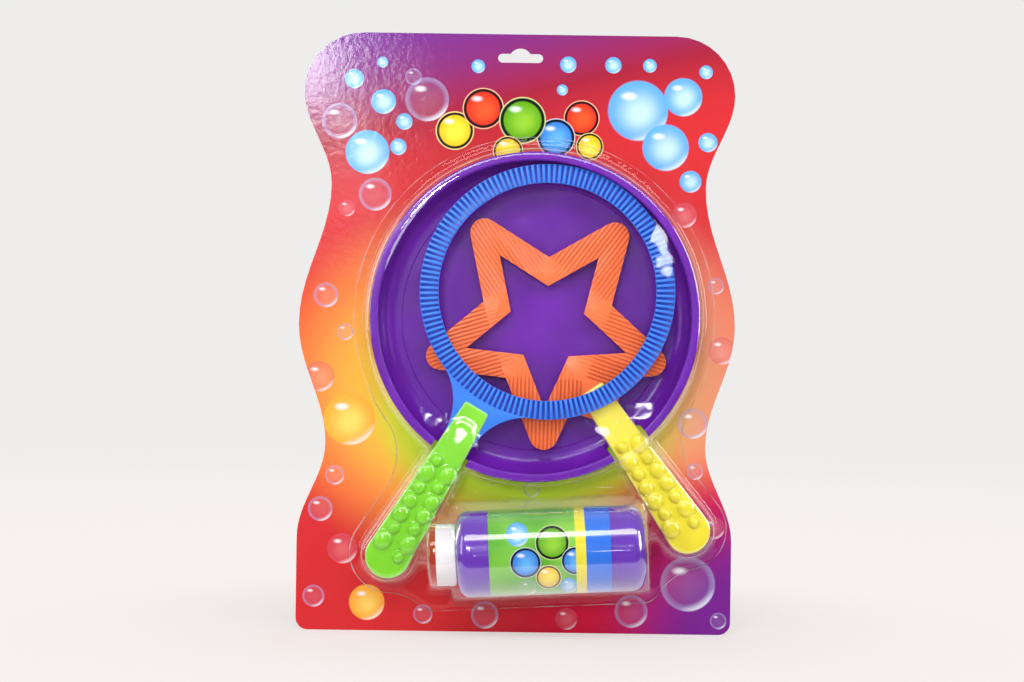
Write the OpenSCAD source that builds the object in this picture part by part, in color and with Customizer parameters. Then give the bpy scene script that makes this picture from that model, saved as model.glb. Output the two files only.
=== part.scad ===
// Carded bubble wand set, upright and ready to hang.
// A wavy printed card carries a clear formed blister. Behind the blister lie a dip dish, a ridged
// ring wand, a ridged star wand and a bottle of bubble liquid with a screw cap.
// Millimetres. The origin is the centre of the hang slot on the card's back face, +Z up, +X to the
// right seen from the front, and the front faces -Y. Pieces are drawn lying on the card, with x across,
// y up the card and z as the height above the card's back, and upright() stands them up.

/* [Card] */
// Height of the backing card
card_h = 425; // [415:1:450]
// Width across the shoulders
shoulder_w = 306; // [290:1:320]
// Width at the upper waist
upper_waist_w = 266; // [262:1:290]
// Width across the middle lobes
lobe_w = 310; // [296:1:330]
// Width at the lower waist
lower_waist_w = 270; // [262:1:290]
// Width across the hips and the foot
hip_w = 309; // [304:1:330]
// Radius of the top corners
shoulder_r = 42; // [20:1:60]
// Radius of the bottom corners
foot_r = 8.5; // [4:0.5:20]
// Thickness of the board
card_t = 0.6; // [0.4:0.1:1.2]

/* [Hang slot] */
// Distance from the slot's centre to the card's top edge
slot_drop = 17; // [12:0.5:25]
// Width of the slot
slot_w = 32; // [28:0.5:40]
// Height of the slot's straight band
slot_h = 6.3; // [5:0.1:8]
// Width of the centring hump at its foot
hump_w = 14; // [10:0.5:18]
// Rise of the hump above the band
hump_h = 3.8; // [2:0.1:5]

/* [Dip dish] */
// Distance of the dish's centre right of the slot
dish_x = 12.4; // [5:0.1:20]
// Distance of the dish's centre below the slot
dish_drop = 184; // [175:1:190]
// Outer radius of the dish at its lip
dish_r = 115.5; // [108:0.5:118]
// Depth of the dish
dish_h = 27; // [26:0.5:32]
// Width of the rolled lip
lip_w = 6; // [5:0.1:8]
// Drop of the lip's outer skirt below the rim
lip_drop = 6; // [4:0.1:8]
// Wall thickness of the dish
dish_wall = 1.6; // [1:0.1:2]
// Thickness of the dish's floor
dish_floor_t = 1.8; // [1.2:0.1:2]
// Radius of the flat floor
dish_floor_r = 97.5; // [90:0.5:100]
// Height at which the curved wall turns upright
cove_h = 18; // [14:0.5:18]
// Width of the raised ring round the floor
floor_step_w = 3; // [2:0.1:5]
// Height of the raised ring round the floor
floor_step_h = 0.8; // [0.4:0.1:1]
// Room on each side of a handle in its notch through the dish's wall
notch_room = 2.2; // [1:0.1:4]

/* [Wand heads] */
// Thickness of both wand heads
head_t = 4.6; // [4:0.1:5]
// Outer radius of the ring
ring_r = 89.5; // [84:0.5:90]
// Radial width of the ring's band
ring_band_w = 13.2; // [11:0.1:16]
// Number of radial grooves in each face of the ring
groove_count = 142; // [90:1:160]
// Width of a groove
groove_w = 1.8; // [1:0.1:2]
// Depth of the grooves in both heads
groove_depth = 1.1; // [0.5:0.1:1.4]
// Width of the plain rims at the ring's edges
ring_rim_w = 0.9; // [0.6:0.1:2]
// Radius of the flared yoke between the ring and its handle
yoke_r = 45; // [30:1:60]
// Radius of the star's rounded tips from its centre
star_r = 88.5; // [84:0.5:90]
// Radius of the star's outer notches from its centre
star_notch_r = 47.5; // [44:0.5:50]
// Rounding of the star's tips
star_tip_r = 10; // [7:0.5:11]
// Width of the star's band
star_band_w = 17.5; // [14:0.5:20]
// Distance from ridge to ridge on the star
ridge_pitch = 2.8; // [2.2:0.1:4]
// Width of the grooves between the star's ridges
ridge_gap = 1.1; // [0.8:0.1:1.6]

/* [Wand handles] */
// Length of a handle
handle_len = 137; // [125:1:140]
// Width of a handle at its square end
handle_w = 19; // [17:0.5:22]
// Width of a handle at its round end
handle_end_w = 32; // [28:0.5:34]
// Thickness of a handle between its bumps
handle_t = 9.4; // [8.4:0.1:10.4]
// Rounding of a handle's edges
handle_edge_r = 1.6; // [0.8:0.1:2]
// Depth of the slot that takes the wand head
handle_slot_len = 30; // [26:1:36]
// Height of the grip bumps
bump_h = 2.2; // [1:0.1:2.4]
// Radius of a middle-sized grip bump
bump_r = 4.6; // [3.6:0.1:5]
// Length of a handle that is plain before its bumps start
plain_len = 46; // [42:1:56]
// Gap between the ring and its handle
ring_handle_gap = 5.2; // [3:0.1:8]
// Gap between the star's notch and its handle
star_handle_gap = 7.5; // [5:0.1:10]

/* [Bottle] */
// Distance of the bottle's base end right of the slot
bottle_base_x = 90.7; // [84:0.1:91]
// Distance of the bottle's middle below the slot
bottle_drop = 346.6; // [344:0.1:350]
// Radius of the bottle's body
bottle_r = 30; // [26:0.1:31]
// Length of the bottle's body
bottle_len = 130; // [110:0.5:133]
// Wall thickness of the bottle
bottle_wall = 1.2; // [0.8:0.1:1.6]
// Rounding of the bottle's base
base_round_r = 9; // [6:0.5:12]
// Rounding of the bottle's shoulder
shoulder_round_r = 8; // [5:0.5:10]
// Outer radius of the neck
neck_r = 18.8; // [16:0.1:19]
// Height of the neck
neck_h = 11; // [9:0.1:12]
// Wall thickness of the neck
neck_wall = 2; // [1.4:0.1:2.4]
// Length of the wrap label along the bottle
label_len = 83.5; // [60:0.5:90]
// Distance of the label from the bottle's base
label_start = 24.3; // [16:0.1:28]
// Thickness of the label
label_t = 0.2; // [0.1:0.05:0.3]
// Thickness of the foil seal on the neck
foil_t = 0.2; // [0.1:0.05:0.3]

/* [Cap] */
// Wall thickness of the cap's skirt
cap_wall = 2.1; // [1.4:0.1:2.6]
// Thickness of the cap's top
cap_top_t = 1.8; // [1.2:0.1:2.4]
// Rounding of the cap's top edge
cap_edge_r = 1; // [0.6:0.1:1.2]
// Room between the cap's bore and the neck
cap_play = 0.65; // [0.4:0.05:1]
// Gap between the closed cap and the bottle's shoulder
cap_foot_gap = 0.8; // [0.4:0.1:1.5]
// Thickness of the liner disc inside the cap
liner_t = 1.2; // [0.8:0.1:1.6]
// Rise of the cap in one full turn
thread_pitch = 3; // [2:0.1:4]
// Turns that take the cap off its thread
thread_turns = 1.5; // [1:0.25:2]

/* [Blister] */
// Wall thickness of the blister
blister_t = 0.5; // [0.4:0.05:0.8]
// Width of the flange that is sealed to the card
flange_w = 9; // [6:0.5:10]
// Room between a pocket's foot and what lies in it
pocket_margin = 4; // [3:0.1:4.5]
// Inward lean of a pocket's walls
pocket_draft = 2; // [1:0.1:2.5]
// Rounding of a pocket's top edge
pocket_edge_r = 5; // [3:0.1:6]
// Rounding of the hollows in the flange's outline
flange_hollow_r = 40; // [20:1:60]
// Height of the channels that join the pockets
channel_h = 14; // [10:0.5:18]
// Width of the channels that join the pockets
channel_w = 34; // [24:1:40]

/* [Hidden] */

// Number of steps in a drawn arc, in a small rounded corner and in one wave of the card's edge
arc_steps = 8;
corner_steps = 4;
wave_steps = 10;
// Fineness of round shapes, of the dish's pocket, of the shapes inside a hull and of a grip bump
$fn = 96;
pocket_fn = 72;
hull_fn = 28;
bump_fn = 12;

// Extra length of a cut past the face that it opens, and of a joined shape into its neighbour
overrun = 1;
weld = 0.6;
// Gap at which loose pieces lie on each other, gap round a seated flat piece and gap under the label
rest_gap = 0.3;
seat_gap = 0.1;
label_gap = 0.05;
// Room above the contents, past the end of the cap's travel and under the star's handle
top_room = 0.7;
cap_room = 1;
star_room = 1.2;

// Heights of the waists, lobes and hips down the card
upper_waist_share = 0.254;
lobe_share = 0.487;
lower_waist_share = 0.687;
hip_share = 0.845;

// Run of the star's web along the arms' edges, and its run along the handle's slot
web_run_share = 1.4;
web_shoulder_share = 0.67;
// Spacing, spread of size, stagger, sway and length of the grip bumps
bump_pitch_share = 2.3;
bump_spread_share = 0.22;
bump_stagger_share = 0.22;
bump_sway_share = 0.16;
bump_stretch_share = 0.1;
// Middle step of a handle's rounded edge
edge_step_share = 0.3;
// Steps in degrees that vary the grip bumps from row to row and from side to side
row_beat = 149;
side_beat = 83;

// Lean of the ring wand to the left and of the star wand to the right of straight down, in degrees
ring_lean = 30.4;
star_lean = 35;
// Direction in which the ring lies against the dish's wall, and slope of the bottle, in degrees
ring_rest_angle = 64;
bottle_slope = 3;
// Distance of the star's centre right of the dish's centre and below it
star_shift = 8.8;
star_drop = 5;

card_top = slot_drop;
card_foot = slot_drop - card_h;

// Heights in the stack, from the card's back
dish_wall_r = dish_r - lip_w;
dish_top = card_t + dish_h;
star_mid = card_t + dish_floor_t + floor_step_h + star_room + bump_h + handle_t / 2;
ring_mid = card_t + cove_h + head_t / 2 + rest_gap;
bottle_mid = card_t + rest_gap + bottle_r;
wand_top = max(dish_top, ring_mid + handle_t / 2 + bump_h) + top_room;
star_top = star_mid + handle_t / 2 + bump_h + top_room;

// Centres of the wands on the card
ring_offset = (dish_wall_r - ring_r - rest_gap) * [cos(ring_rest_angle), sin(ring_rest_angle)];
ring_x = dish_x + ring_offset.x;
ring_y = -dish_drop + ring_offset.y;
star_offset = [star_shift, -star_drop];
star_x = dish_x + star_offset.x;
star_y = -dish_drop + star_offset.y;
ring_stem = ring_r + ring_handle_gap;
star_stem = star_notch_r + star_handle_gap;

// The bottle's axis starts at its base and runs to the cap
bottle_x = bottle_base_x - bottle_len / 2;
cap_r = neck_r + cap_play + cap_wall;
neck_top = bottle_len + neck_h;
liner_start = neck_top + foil_t + seat_gap;
cap_inner_top = liner_start + liner_t + seat_gap;
cap_top = cap_inner_top + cap_top_t;
cap_foot = bottle_len + cap_foot_gap;
cap_travel = thread_pitch * thread_turns;

// Slope of the star's outer edges to the arm's axis, by the tangent from a notch to a tip's circle
arm_half = 36;
tip_centre = star_r - star_tip_r;
notch_ahead = star_notch_r * cos(arm_half);
notch_aside = star_notch_r * sin(arm_half);
notch_reach = norm([tip_centre - notch_ahead, notch_aside]);
edge_slope = atan2(notch_aside, tip_centre - notch_ahead) - asin(star_tip_r / notch_reach);
sharp_tip = notch_ahead + notch_aside / tan(edge_slope);
hole_share = 1 - star_band_w / sin(edge_slope) / sharp_tip;

function arc(centre, r, from, to, steps = arc_steps) =
    [for (i = [0:steps]) let (a = from + (to - from) * i / steps) centre + r * [cos(a), sin(a)]];
function oval_arc(centre, rx, ry, from, to) =
    [for (i = [0:arc_steps]) let (a = from + (to - from) * i / arc_steps)
        centre + [rx * cos(a), ry * sin(a)]];
// Distance along a wand's axis from its head's centre to the dish's edge
function wall_reach(shift, lean) = let (along = shift * [sin(lean), -cos(lean)])
    sqrt(dish_r * dish_r - shift * shift + along * along) - along;
function mirrored(points) = [for (i = [len(points) - 1:-1:0]) [-points[i].x, points[i].y]];
// Cosine wave from one point of the card's edge to the next, without its first point
function wave(from, to) = [for (i = [1:wave_steps]) let (s = i / wave_steps)
    [from.x + (to.x - from.x) * (1 - cos(180 * s)) / 2, from.y + (to.y - from.y) * s]];
function handle_width(along) =
    handle_w + (handle_end_w - handle_w) * along / (handle_len - handle_end_w / 2);
function down_card(share) = card_top - share * card_h;

module upright() { rotate([90, 0, 0]) children(); }
// Wand frame: the head's centre is the origin and the handle runs down -y
module ring_place() { translate([ring_x, ring_y, ring_mid]) rotate(-ring_lean) children(); }
module star_place() { translate([star_x, star_y, star_mid]) rotate(star_lean) children(); }
// Bottle frame: the base's centre is the origin and the axis runs along +z to the cap
module bottle_place() {
    translate([bottle_x, -bottle_drop, bottle_mid]) rotate(bottle_slope) rotate([0, -90, 0])
        translate([0, 0, -bottle_len / 2]) children();
}
module both_faces() {
    children();
    mirror([0, 0, 1]) children();
}

// Card

module card_outline() {
    shoulder = [shoulder_w / 2, card_top - shoulder_r];
    upper_waist = [upper_waist_w / 2, down_card(upper_waist_share)];
    lobe = [lobe_w / 2, down_card(lobe_share)];
    lower_waist = [lower_waist_w / 2, down_card(lower_waist_share)];
    hip = [hip_w / 2, down_card(hip_share)];
    right = concat(
        arc(shoulder - [shoulder_r, 0], shoulder_r, 90, 0),
        wave(shoulder, upper_waist),
        wave(upper_waist, lobe),
        wave(lobe, lower_waist),
        wave(lower_waist, hip),
        arc([hip.x - foot_r, card_foot + foot_r], foot_r, 0, -90)
    );
    polygon(concat(right, mirrored(right)));
}

module slot_outline() {
    band_r = slot_h / 2;
    end_x = slot_w / 2 - band_r;
    hump_r = (hump_w * hump_w / 4 + hump_h * hump_h) / (2 * hump_h);
    hump_half = asin(hump_w / 2 / hump_r);
    right = concat(
        arc([0, band_r + hump_h - hump_r], hump_r, 90, 90 - hump_half),
        arc([end_x, 0], band_r, 90, -90)
    );
    polygon(concat(right, mirrored(right)));
}

module backing_card() {
    color("tomato") upright() linear_extrude(card_t) difference() {
        card_outline();
        slot_outline();
    }
}

// Dish

module dish_profile() {
    lip_mid = [dish_r - lip_w / 2, dish_h - lip_w / 2];
    cove_mid = [dish_floor_r, cove_h];
    cove_reach = dish_wall_r - dish_floor_r;
    skin = dish_wall / 2;
    polygon(concat(
        [[0, 0]],
        oval_arc(cove_mid, cove_reach + dish_wall, cove_h, -90, 0),
        [[dish_wall_r + dish_wall, dish_h - dish_wall], [dish_r - skin, dish_h - dish_wall]],
        [[dish_r - skin, dish_h - lip_drop], [dish_r, dish_h - lip_drop]],
        arc(lip_mid, lip_w / 2, 0, 180),
        oval_arc(cove_mid, cove_reach, cove_h - dish_floor_t - floor_step_h, 0, -90),
        [[dish_floor_r - floor_step_w, dish_floor_t + floor_step_h]],
        [[dish_floor_r - floor_step_w - floor_step_h, dish_floor_t], [0, dish_floor_t]]
    ));
}

// Cut for a handle through the dish's wall, from a depth below the handle's middle, in the wand's frame
module handle_notch(stem, reach, depth) {
    width = handle_width(reach - stem) + 2 * notch_room;
    corner = notch_room;
    height = dish_h;
    half = concat(
        arc([width / 2 - corner, corner], corner, -90, 0, corner_steps),
        [[width / 2, height]]
    );
    translate([0, -stem, -depth - rest_gap]) rotate([90, 0, 0]) linear_extrude(handle_len)
        polygon(concat(half, mirrored(half)));
}

module dip_dish() {
    color("rebeccapurple") upright() difference() {
        translate([dish_x, -dish_drop, card_t]) rotate_extrude() dish_profile();
        ring_place() handle_notch(ring_stem, wall_reach(ring_offset, -ring_lean), handle_t / 2);
        star_place() handle_notch(star_stem, wall_reach(star_offset, star_lean), handle_t / 2 + bump_h);
    }
}

// Wand heads

// Flared yoke from the ring to its handle, with a tang in the handle's slot
module ring_yoke() {
    side = handle_width(handle_slot_len) / 2;
    seat_r = ring_r - weld;
    reach = seat_r + yoke_r;
    along = sqrt(reach * reach - pow(side + yoke_r, 2));
    contact = atan2(-along, side + yoke_r);
    tang = handle_w / 2 - handle_edge_r;
    half = concat(
        arc([side + yoke_r, -along], yoke_r, contact + 180, 180),
        [[tang, -along], [tang, seat_gap - ring_stem - handle_slot_len]]
    );
    polygon(concat(half, mirrored(half)));
}

module ring_grooves() {
    for (i = [0:groove_count - 1]) rotate(i * 360 / groove_count)
        translate([ring_r - ring_band_w + ring_rim_w, -groove_w / 2, head_t / 2 - groove_depth])
            cube([ring_band_w - 2 * ring_rim_w, groove_w, groove_depth + overrun]);
}

module ring_head() {
    color("dodgerblue") upright() ring_place() difference() {
        translate([0, 0, -head_t / 2]) union() {
            difference() {
                cylinder(r = ring_r, h = head_t);
                translate([0, 0, -overrun])
                    cylinder(r = ring_r - ring_band_w, h = head_t + 2 * overrun);
            }
            linear_extrude(head_t) ring_yoke();
        }
        both_faces() ring_grooves();
    }
}

// Star with rounded tips, one arm either side of the handle's direction
module star_outline() {
    points = [for (k = [0:4]) let (axis = -90 - arm_half - 72 * k, notch = axis + arm_half)
        concat(
            [star_notch_r * [cos(notch), sin(notch)]],
            arc(tip_centre * [cos(axis), sin(axis)], star_tip_r,
                axis + 90 - edge_slope, axis - 90 + edge_slope)
        )];
    polygon([for (arm = points) for (p = arm) p]);
}

module star_hole() {
    polygon([for (k = [0:4]) let (axis = -90 - arm_half - 72 * k, notch = axis + arm_half)
        for (p = [star_notch_r * [cos(notch), sin(notch)], sharp_tip * [cos(axis), sin(axis)]])
            hole_share * p]);
}

// Web that fills the notch above the handle, with a tang in the handle's slot
module star_web() {
    open = arm_half + edge_slope;
    run = star_band_w * web_run_share;
    side = handle_w / 2 - handle_edge_r;
    shoulder = star_stem + handle_slot_len * web_shoulder_share;
    half = [
        [0, -star_notch_r + star_band_w / 2],
        [run * sin(open) + weld, -star_notch_r - run * cos(open) + weld],
        [side + handle_edge_r, -shoulder],
        [side, -shoulder],
        [side, seat_gap - star_stem - handle_slot_len]
    ];
    polygon(concat(half, mirrored(half)));
}

// Grooves along one arm, open at its edges and ending level with the notches
module star_grooves() {
    lanes = floor(notch_aside / ridge_pitch);
    for (k = [0:4]) rotate(-90 - arm_half - 72 * k) for (lane = [-lanes:lanes])
        translate([notch_ahead + weld, lane * ridge_pitch - ridge_gap / 2, head_t / 2 - groove_depth])
            cube([star_r, ridge_gap, groove_depth + overrun]);
}

module star_head() {
    color("coral") upright() star_place() difference() {
        translate([0, 0, -head_t / 2]) linear_extrude(head_t) difference() {
            union() {
                star_outline();
                star_web();
            }
            star_hole();
        }
        both_faces() star_grooves();
    }
}

// Handles

module handle_outline(inset) {
    offset(delta = -inset) hull() {
        translate([-handle_w / 2, -weld]) square([handle_w, weld]);
        translate([0, -handle_len + handle_end_w / 2]) circle(handle_end_w / 2, $fn = 2 * hull_fn);
    }
}

// Flat layer of a handle, short of both faces and drawn in from its outline
module handle_layer(short, inset) {
    translate([0, 0, short - handle_t / 2]) linear_extrude(handle_t - 2 * short) handle_outline(inset);
}

// Grip bumps in two staggered columns, of sizes that come and go along the handle
module grip_bumps() {
    grip_len = handle_len - plain_len - handle_end_w / 2;
    rows = floor(grip_len / (bump_pitch_share * bump_r));
    pitch = grip_len / rows;
    for (row = [0:rows - 1]) for (side = [-1, 1]) {
        beat = sin(row_beat * row + side_beat * side);
        size = bump_r * (1 + bump_spread_share * beat);
        along = plain_len + (row + 0.5 + side * bump_stagger_share) * pitch;
        across = side * (handle_width(along) / 4 + bump_sway_share * bump_r * beat);
        translate([across, -along, handle_t / 2]) hull() for (shift = [-1, 1])
            translate([0, shift * size * bump_stretch_share, 0]) scale([size, size, bump_h])
                sphere(1, $fn = bump_fn);
    }
}

module handle() {
    step = handle_edge_r * edge_step_share;
    slot_t = head_t + 2 * seat_gap;
    difference() {
        union() {
            hull() {
                handle_layer(handle_edge_r, 0);
                handle_layer(step, step);
                handle_layer(0, handle_edge_r);
            }
            both_faces() grip_bumps();
        }
        translate([-handle_end_w / 2, -handle_slot_len, -slot_t / 2])
            cube([handle_end_w, handle_slot_len + overrun, slot_t]);
    }
}

module ring_handle() { color("limegreen") upright() ring_place() translate([0, -ring_stem, 0]) handle(); }
module star_handle() { color("gold") upright() star_place() translate([0, -star_stem, 0]) handle(); }

// Bottle

module bottle_body() {
    inner_r = bottle_r - bottle_wall;
    inner_shoulder = shoulder_round_r - bottle_wall;
    inner_base = base_round_r - bottle_wall;
    color("mediumslateblue") upright() bottle_place() rotate_extrude() polygon(concat(
        [[0, 0]],
        arc([bottle_r - base_round_r, base_round_r], base_round_r, -90, 0),
        arc([bottle_r - shoulder_round_r, bottle_len - shoulder_round_r], shoulder_round_r, 0, 90),
        [[neck_r, bottle_len], [neck_r, neck_top], [neck_r - neck_wall, neck_top]],
        [[neck_r - neck_wall, bottle_len - bottle_wall]],
        arc([inner_r - inner_shoulder, bottle_len - bottle_wall - inner_shoulder], inner_shoulder, 90, 0),
        arc([inner_r - inner_base, bottle_wall + inner_base], inner_base, 0, -90),
        [[0, bottle_wall]]
    ));
}

module bottle_label() {
    color("yellowgreen") upright() bottle_place() translate([0, 0, label_start]) difference() {
        cylinder(r = bottle_r + label_gap + label_t, h = label_len);
        translate([0, 0, -overrun]) cylinder(r = bottle_r + label_gap, h = label_len + 2 * overrun);
    }
}

module foil_seal() {
    color("silver") upright() bottle_place() translate([0, 0, neck_top])
        cylinder(r = neck_r, h = foil_t);
}

module cap_liner() {
    color("gainsboro") upright() bottle_place() translate([0, 0, liner_start])
        cylinder(r = neck_r, h = liner_t);
}

module bottle_cap() {
    bore_r = cap_r - cap_wall;
    color("white") upright() bottle_place() rotate_extrude() polygon(concat(
        [[0, cap_inner_top], [bore_r, cap_inner_top], [bore_r, cap_foot], [cap_r, cap_foot]],
        arc([cap_r - cap_edge_r, cap_top - cap_edge_r], cap_edge_r, 0, 90),
        [[0, cap_top]]
    ));
}

// Blister

// Round pocket with leaning walls and a rounded top, grown by the wall and sunk below its foot
module round_pocket(r, height, grow, sink, fineness) {
    top = height - card_t;
    edge = pocket_edge_r;
    translate([0, 0, card_t]) rotate_extrude($fn = fineness) polygon(concat(
        [[0, -sink], [r + pocket_draft + grow, -sink], [r + pocket_draft + grow, 0]],
        arc([r - edge, top - edge], edge + grow, 0, 90, corner_steps),
        [[0, top + grow]]
    ));
}

module handle_pocket(stem, height, grow, sink) {
    room = pocket_margin - pocket_draft;
    hull() {
        translate([0, -stem - plain_len / 2]) round_pocket(handle_w / 2 + room, height, grow, sink, hull_fn);
        translate([0, -stem - handle_len + handle_end_w / 2])
            round_pocket(handle_end_w / 2 + room, height, grow, sink, hull_fn);
    }
}

// Block under the bottle's lower half, with leaning walls
module bottle_foot(start, end, half_w, grow, sink) {
    spread = pocket_margin + grow;
    translate([-bottle_mid + card_t - sink, -half_w - spread, start - spread])
        cube([weld + sink, 2 * (half_w + spread), end - start + 2 * spread]);
}

module bottle_pocket(grow, sink) {
    room = top_room + grow;
    bottle_place() hull() {
        rotate_extrude($fn = 2 * hull_fn) polygon(concat(
            [[0, -room]],
            arc([bottle_r - base_round_r, base_round_r], base_round_r + room, -90, 0, corner_steps),
            arc([bottle_r - shoulder_round_r, bottle_len - shoulder_round_r], shoulder_round_r + room, 0, 90,
                corner_steps),
            [[0, bottle_len + room]]
        ));
        bottle_foot(0, bottle_len, bottle_r, grow, sink);
    }
}

module cap_pocket(grow, sink) {
    room = top_room + grow;
    end = cap_top + cap_travel + cap_room + grow;
    bottle_place() hull() {
        translate([0, 0, bottle_len - shoulder_round_r])
            cylinder(r = cap_r + room, h = end - bottle_len + shoulder_round_r, $fn = hull_fn);
        bottle_foot(bottle_len, end - pocket_margin - grow, cap_r, grow, sink);
    }
}

// Low channels that join the bottle's pocket to both handles' pockets
module channels(grow, sink) {
    half = channel_w / 2 - pocket_draft;
    ring_end = ring_stem + handle_len - handle_end_w;
    star_end = star_stem + handle_len - handle_end_w;
    hull() {
        translate([bottle_x - bottle_len / 2, -bottle_drop, 0])
            round_pocket(half, channel_h, grow, sink, hull_fn);
        translate([ring_x - ring_end * sin(ring_lean), ring_y - ring_end * cos(ring_lean), 0])
            round_pocket(half, channel_h, grow, sink, hull_fn);
    }
    hull() {
        translate([bottle_base_x - channel_w, -bottle_drop + channel_w / 2, 0])
            round_pocket(half, channel_h, grow, sink, hull_fn);
        translate([star_x + star_end * sin(star_lean), star_y - star_end * cos(star_lean), 0])
            round_pocket(half, channel_h, grow, sink, hull_fn);
    }
}

module pockets(grow, sink) {
    translate([dish_x, -dish_drop, 0])
        round_pocket(dish_r + pocket_margin - pocket_draft, wand_top, grow, sink, pocket_fn);
    translate([ring_x, ring_y, 0]) rotate(-ring_lean) handle_pocket(ring_stem, wand_top, grow, sink);
    translate([star_x, star_y, 0]) rotate(star_lean) handle_pocket(star_stem, star_top, grow, sink);
    bottle_pocket(grow, sink);
    cap_pocket(grow, sink);
    channels(grow, sink);
}

// Outline of the flange, following the pockets with its hollows filled
module flange_outline() {
    spread = pocket_margin + flange_w;
    offset(r = -flange_hollow_r) offset(r = flange_hollow_r + spread) {
        translate([dish_x, -dish_drop]) circle(dish_r);
        translate([ring_x, ring_y]) rotate(-ring_lean) translate([0, -ring_stem]) handle_outline(0);
        translate([star_x, star_y]) rotate(star_lean) translate([0, -star_stem]) handle_outline(0);
        translate([bottle_x, -bottle_drop]) rotate(bottle_slope)
            translate([-cap_top - cap_travel + bottle_len / 2, -bottle_r])
                square([cap_top + cap_travel, 2 * bottle_r]);
    }
}

module blister() {
    color("lightcyan", 0.35) upright() difference() {
        union() {
            translate([0, 0, card_t]) linear_extrude(blister_t) flange_outline();
            pockets(blister_t, 0);
        }
        pockets(0, overrun);
    }
}

backing_card();
blister();
dip_dish();
ring_head();
ring_handle();
star_head();
star_handle();
bottle_body();
bottle_label();
foil_seal();
cap_liner();
bottle_cap();
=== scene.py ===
"""Looks of a carded bubble wand set: a printed hang card, a clear blister and what lies under it.

Pieces are modelled lying on the card, with x across, y up the card and z as the height above its back,
and then stood up, so that the card's front faces -Y and +Z is up. Lengths are metres.
"""

import math

import bpy
from mathutils import Matrix, Vector


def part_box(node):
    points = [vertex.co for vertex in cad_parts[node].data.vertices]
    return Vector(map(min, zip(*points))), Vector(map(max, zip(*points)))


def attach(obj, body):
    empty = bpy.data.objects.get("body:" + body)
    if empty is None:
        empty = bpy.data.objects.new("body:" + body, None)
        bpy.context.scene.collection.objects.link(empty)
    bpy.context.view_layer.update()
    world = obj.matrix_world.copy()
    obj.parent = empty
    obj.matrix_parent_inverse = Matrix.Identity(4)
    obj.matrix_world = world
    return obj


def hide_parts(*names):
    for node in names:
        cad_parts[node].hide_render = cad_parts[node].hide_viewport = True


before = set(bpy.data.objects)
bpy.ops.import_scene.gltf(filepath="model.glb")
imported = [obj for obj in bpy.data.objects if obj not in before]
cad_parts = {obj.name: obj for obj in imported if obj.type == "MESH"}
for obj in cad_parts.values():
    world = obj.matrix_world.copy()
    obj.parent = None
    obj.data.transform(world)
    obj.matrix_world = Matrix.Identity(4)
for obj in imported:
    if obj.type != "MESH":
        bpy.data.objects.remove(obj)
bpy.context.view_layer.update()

bl_info = {
    "name": "Carded bubble wand set",
    "version": (1, 0, 0),
    "blender": (4, 5, 0),
    "location": "View3D > Sidebar > Bubble set",
    "description": "Dresses a hang card with a blister, a dip dish, two bubble wands and a bottle",
    "category": "Object",
}

MM = 0.001

# Boxes of the solids that the pieces are fitted to
card_low, card_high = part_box("backing_card")
dish_low, dish_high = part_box("dip_dish")
CARD_T = card_high.y - card_low.y
CARD_FOOT = card_low.z
DISH_MID = Vector(((dish_low.x + dish_high.x) / 2, (dish_low.z + dish_high.z) / 2, 0))
DISH_R = (dish_high.x - dish_low.x) / 2
DISH_H = dish_high.y - dish_low.y

# The wands' and the bottle's places on the card, as the solids have them
RING_CENTRE = Vector((21.04, -166.29, 21.2)) * MM
STAR_CENTRE = Vector((21.2, -189.0, 11.3)) * MM
BOTTLE_CENTRE = Vector((25.7, -346.6, 30.9)) * MM
RING_LEAN = math.radians(-30.4)
STAR_LEAN = math.radians(35)
BOTTLE_SLOPE = math.radians(3)
STAR_ARMS = 5

# Steps of turned pieces, and the distance within which vertices are merged
TURN_STEPS = 160
DISH_STEPS = 192
RING_STEPS = 284
POCKET_STEPS = 64
BOTTLE_POCKET_STEPS = 96
MERGE = 0.01 * MM

# Clearances, the reach of cutters past a piece, and roundings of small edges
FIT_GAP = 0.1 * MM
NOTCH_GAP = 0.3 * MM
OVERRUN = 2 * MM
FINE_ROUND = 0.2 * MM
YOKE_ROUND = 0.3 * MM
FIN_ROUND = 0.4 * MM

# The ring: number of fins, drop of its rims below the fins and reach of the yoke under its band
FIN_COUNT = 142
RIM_DROP = 0.6 * MM
YOKE_SINK = 0.6 * MM

# The grip: mesh size, width of its painted edge highlight, height of the painted domes, and shares of a
# bump's radius
GRIP_VOXEL = 0.55 * MM
GRIP_HIGHLIGHT_W = 1.8 * MM
DOME_H = 1.3 * MM
ROW_SHARE = 1.95
LONG_SHARE = 1.1
SWAY_SHARE = 0.16
VARY_SHARE = 0.22
STAGGER_SHARE = 0.22
# The crease shares place the painted shade round each bump
CREASE_SHARES = (1.02, 0.34)
ROW_BEAT, SIDE_BEAT = 149, 83
GRIP_MARKS = ("crease_shade", "rim", "dome")

# The bottle, its label and its cap
BASE_ROUND = 9 * MM
SHOULDER_ROUND = 8 * MM
BOTTLE_WALL = 1.2 * MM
NECK_WALL = 2 * MM
LABEL_GAP = 0.05 * MM
LABEL_T = 0.2 * MM
STRIPE_IN = 24 * MM
BAND_IN = 17 * MM
PRINT_EDGE = 0.2 * MM
CAP_FOOT_GAP = 0.8 * MM
CAP_RISE = 3.4 * MM
CAP_TOP_T = 1.8 * MM
CAP_WALL = 2.1 * MM
CAP_EDGE_R = 1 * MM
CAP_LIP = 0.3 * MM

# The blister: heights of pockets, room over the contents, depth of the pockets' solids and mesh sizes
DISH_POCKET_H = 28.8 * MM
STAR_POCKET_H = 18.9 * MM
CONTENT_ROOM = 0.7 * MM
CAP_REACH = 8.9 * MM
CAP_POCKET_ROUND = 2 * MM
POCKET_SINK = 5 * MM
SHEET_VOXEL = 1.9 * MM
CUT_EDGE_W = 0.7 * MM

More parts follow.
